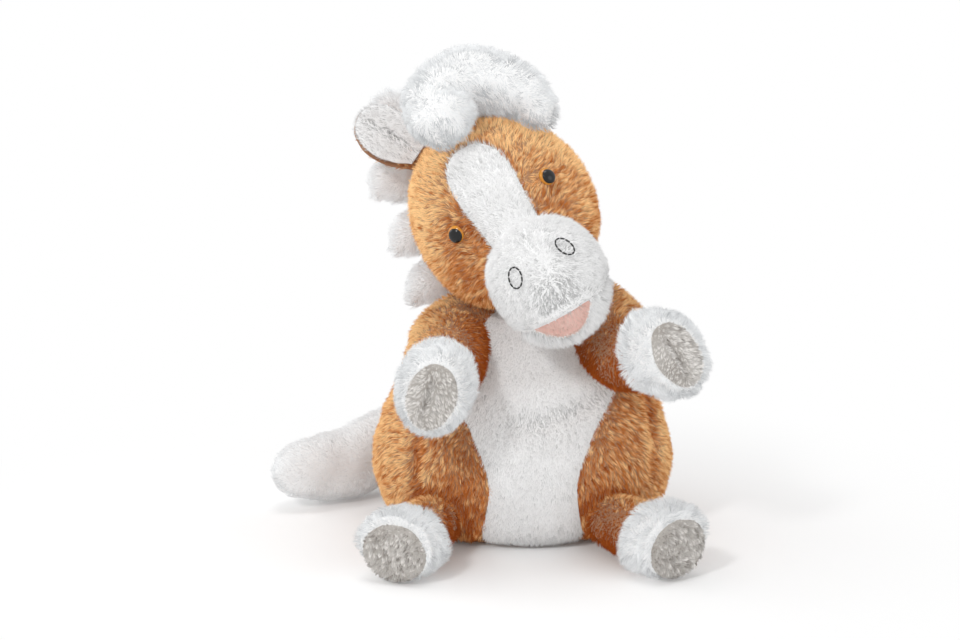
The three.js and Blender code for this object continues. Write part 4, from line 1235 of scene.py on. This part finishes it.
def make_ears():
    for seed, (name, ear) in enumerate(EARS.items()):
        turned, root = ear_frame(ear)
        way, back = turned[:, 2], turned[:, 1]
        hinge = Mount("head", f"ear_{name}", root - EAR_BEND[0] * way, root + EAR_BEND[1] * way)
        outer = ear_leaf(-1.5, EAR_LENGTH, EAR_WIDTH, front=-0.4, back=2.0, fold=0.0)
        outer = outer.pushed(0.25 * waves(outer.points, 12, 70)).moved(turned, root)

        def behind(points, normals):
            """The lining covers the front, apart from the root, and pile is short towards the tip."""
            along = (points - root) @ way
            share = np.clip((EAR_LENGTH - along) / 12, 0.1, 1)
            return np.where((along < 7) | (normals @ back > 0.45), share, 0.0)

        def fold_shade(points, normals):
            """Painted shade: the lining is darker in the fold down its middle."""
            along = (points - root) @ way / EAR_LENGTH
            across = (points - root) @ turned[:, 0] / EAR_WIDTH
            ends = np.sin(math.pi * np.clip(along, 0, 1))
            return 0.2 - 0.9 * ends * bell((across - ear_fold(along)) / EAR_FOLD_WIDTH)

        outer_look = CHESTNUT._replace(length=3.2, lean=62)
        plush_piece(f"ear_{name}_outer", outer, outer_look, hinge, lambda p: way, 71 + seed,
                    shorten=behind)
        lining = ear_leaf(2.0, EAR_LENGTH - 0.4, EAR_WIDTH - 0.9, front=-2.6, back=-0.6, fold=1.6)
        aside = turned @ np.array((-1.0 * ear.sign, 0, 0))
        lining = lining.pushed(0.25 * waves(lining.points, 10, 75)).moved(turned, root + aside)
        plush_piece(f"ear_{name}_lining", lining, EAR_PALE, hinge, lambda p: way, 77 + seed,
                    shade=fold_shade)


# Forelock and mane
def make_lock(name, run, seed, look, groom, relief, shade):
    skin = fluffy_loft(run)
    skin = on_head(skin.pushed(0.9 * waves(skin.points, 20, seed) + relief(skin.points)))
    plush_piece(name, skin, look, Mount("head"), groom, seed + 1,
                shorten=lambda p, n: np.where(inside_head(p, 2), 0.0, 1.0), shade=shade)


def forelock_relief(points):
    """The fold down the front of the forelock."""
    x, y, z = points.T
    return crease(x, z, FORELOCK_FOLD, 3.0, 5.0) * (y < FORELOCK[1][1])


def forelock_shade(points, normals):
    """Painted shade: darker in the fold, on the front, and where the forelock hangs over."""
    front, below = np.maximum(-normals[:, 1], 0), np.maximum(0.2 - normals[:, 2], 0)
    return 0.24 - 0.36 * front - 0.35 * below + 0.14 * forelock_relief(in_head(points))


def make_hair():
    down = HEAD_TURN @ np.array((0, -0.8, -0.6))
    make_lock("forelock", spline(FORELOCK, 70), 300, LONG_FLUFF, lambda p: down, forelock_relief,
              forelock_shade)
    out = HEAD_TURN @ np.array((-1.0, 0, 0.1))
    for number, (root, tip, length, back, thick, tall) in enumerate(MANE):
        skin_back = HEAD.back * math.sqrt(1 - (root / (HEAD.jaw if root < 0 else HEAD.crown)) ** 2)
        behind = skin_back + MANE_ROOT_BACK
        run = spline([
            (MANE_START, behind, root, thick * 0.5, tall * 0.5),
            (0, behind, root, thick * 0.8, tall * 0.85),
            (-length * 0.45, (behind + back) / 2 + MANE_BULGE, (root + tip) / 2, thick, tall),
            (-length * 0.8, back, tip, thick * 0.95, tall * 0.95),
            (-length, back - MANE_CURL[0], tip - MANE_CURL[1], thick * 0.3, tall * 0.35),
        ], 40)
        # Painted light: the locks' fluff is made lighter, to offset the shade and warm bounce light they get
        # behind the head
        make_lock(f"mane_lock_{number + 1}", run, 310 + 4 * number, FLUFF, lambda p: out,
                  lambda p: np.zeros(len(p)), lambda p, n: 0.4)


# Pieces inside keep their solids
def finish_inner_nodes():
    for name, node in frame["nodes"].items():
        if node.hide_render:
            continue
        material = {"filling": FIBRE, "washer": WASHER, "pocket": LINING_CLOTH}[name.split("_")[-1]]
        node.data.materials.clear()
        node.data.materials.append(material)


# Stage, light and camera
def background_rays(nodes, links):
    """1 for rays that see the background itself: straight, in a reflection or through glass."""
    path = nodes.new("ShaderNodeLightPath")
    total = path.outputs["Is Camera Ray"]
    for kind in ("Is Glossy Ray", "Is Transmission Ray"):
        add = nodes.new("ShaderNodeMath")
        add.operation = "ADD"
        add.use_clamp = True
        links.new(total, add.inputs[0])
        links.new(path.outputs[kind], add.inputs[1])
        total = add.outputs["Value"]
    return total


def make_floor():
    """A pale floor that keeps the shadow under the puppet and turns white further out."""
    bpy.ops.mesh.primitive_plane_add(size=12)
    floor = bpy.context.object
    floor.name = "floor"
    material, nodes, links, shader = new_material("pale_floor")
    set_inputs(shader, {"Base Color": (*grey(0.96), 1), "Roughness": 0.9})
    glow = nodes.new("ShaderNodeEmission")
    place = nodes.new("ShaderNodeTexCoord")
    away = nodes.new("ShaderNodeVectorMath")
    away.operation = "LENGTH"
    links.new(place.outputs["Object"], away.inputs[0])
    fade = nodes.new("ShaderNodeMapRange")
    fade.interpolation_type = "SMOOTHSTEP"
    set_inputs(fade, {"From Min": FLOOR_FADE[0], "From Max": FLOOR_FADE[1]})
    links.new(away.outputs["Value"], fade.inputs["Value"])
    seen = nodes.new("ShaderNodeMath")
    seen.operation = "MULTIPLY"
    links.new(fade.outputs["Result"], seen.inputs[0])
    links.new(background_rays(nodes, links), seen.inputs[1])
    mix = nodes.new("ShaderNodeMixShader")
    links.new(seen.outputs["Value"], mix.inputs["Fac"])
    links.new(shader.outputs["BSDF"], mix.inputs[1])
    links.new(glow.outputs["Emission"], mix.inputs[2])
    links.new(mix.outputs["Shader"], nodes["Material Output"].inputs["Surface"])
    floor.data.materials.append(material)


def make_world():
    """A white world, which lights the puppet less than it shows."""
    world = bpy.data.worlds.new("studio")
    bpy.context.scene.world = world
    world.use_nodes = True
    nodes, links = world.node_tree.nodes, world.node_tree.links
    strength = nodes.new("ShaderNodeMapRange")
    set_inputs(strength, {"To Min": WORLD_LIGHT, "To Max": 1.0})
    links.new(background_rays(nodes, links), strength.inputs["Value"])
    background = nodes["Background"]
    background.inputs["Color"].default_value = (1, 1, 1, 1)
    links.new(strength.outputs["Result"], background.inputs["Strength"])


def make_lights():
    for name, (place, size, power) in LAMPS.items():
        data = bpy.data.lights.new(name, "AREA")
        data.shape = "DISK"
        data.size = size
        data.energy = power
        lamp = bpy.data.objects.new(name, data)
        lamp.location = place
        way = Vector((0, 0, LAMP_AIM)) - Vector(place)
        lamp.rotation_euler = way.to_track_quat("-Z", "Y").to_euler()
        bpy.context.scene.collection.objects.link(lamp)


def make_camera():
    data = bpy.data.cameras.new("camera")
    data.lens = CAMERA_LENS
    data.sensor_width = 36
    camera = bpy.data.objects.new("camera", data)
    rise = math.radians(CAMERA_ELEVATION)
    offset = CAMERA_DISTANCE * np.array((0, -math.cos(rise), math.sin(rise)))
    camera.location = (CAMERA_TARGET + SHIFT + offset) * MM
    camera.rotation_euler = (math.pi / 2 - rise, 0, 0)
    bpy.context.scene.collection.objects.link(camera)
    bpy.context.scene.camera = camera


make_camera()
make_floor()
make_world()
make_lights()
make_torso()
make_hem()
for number, limb_name in enumerate(LIMBS):
    make_limb(limb_name, 400 + 20 * number)
make_tail()
make_neck()
make_head()
make_eyes()
make_nostrils()
make_ears()
make_hair()
finish_inner_nodes()

bpy.context.scene.view_settings.view_transform = "Standard"
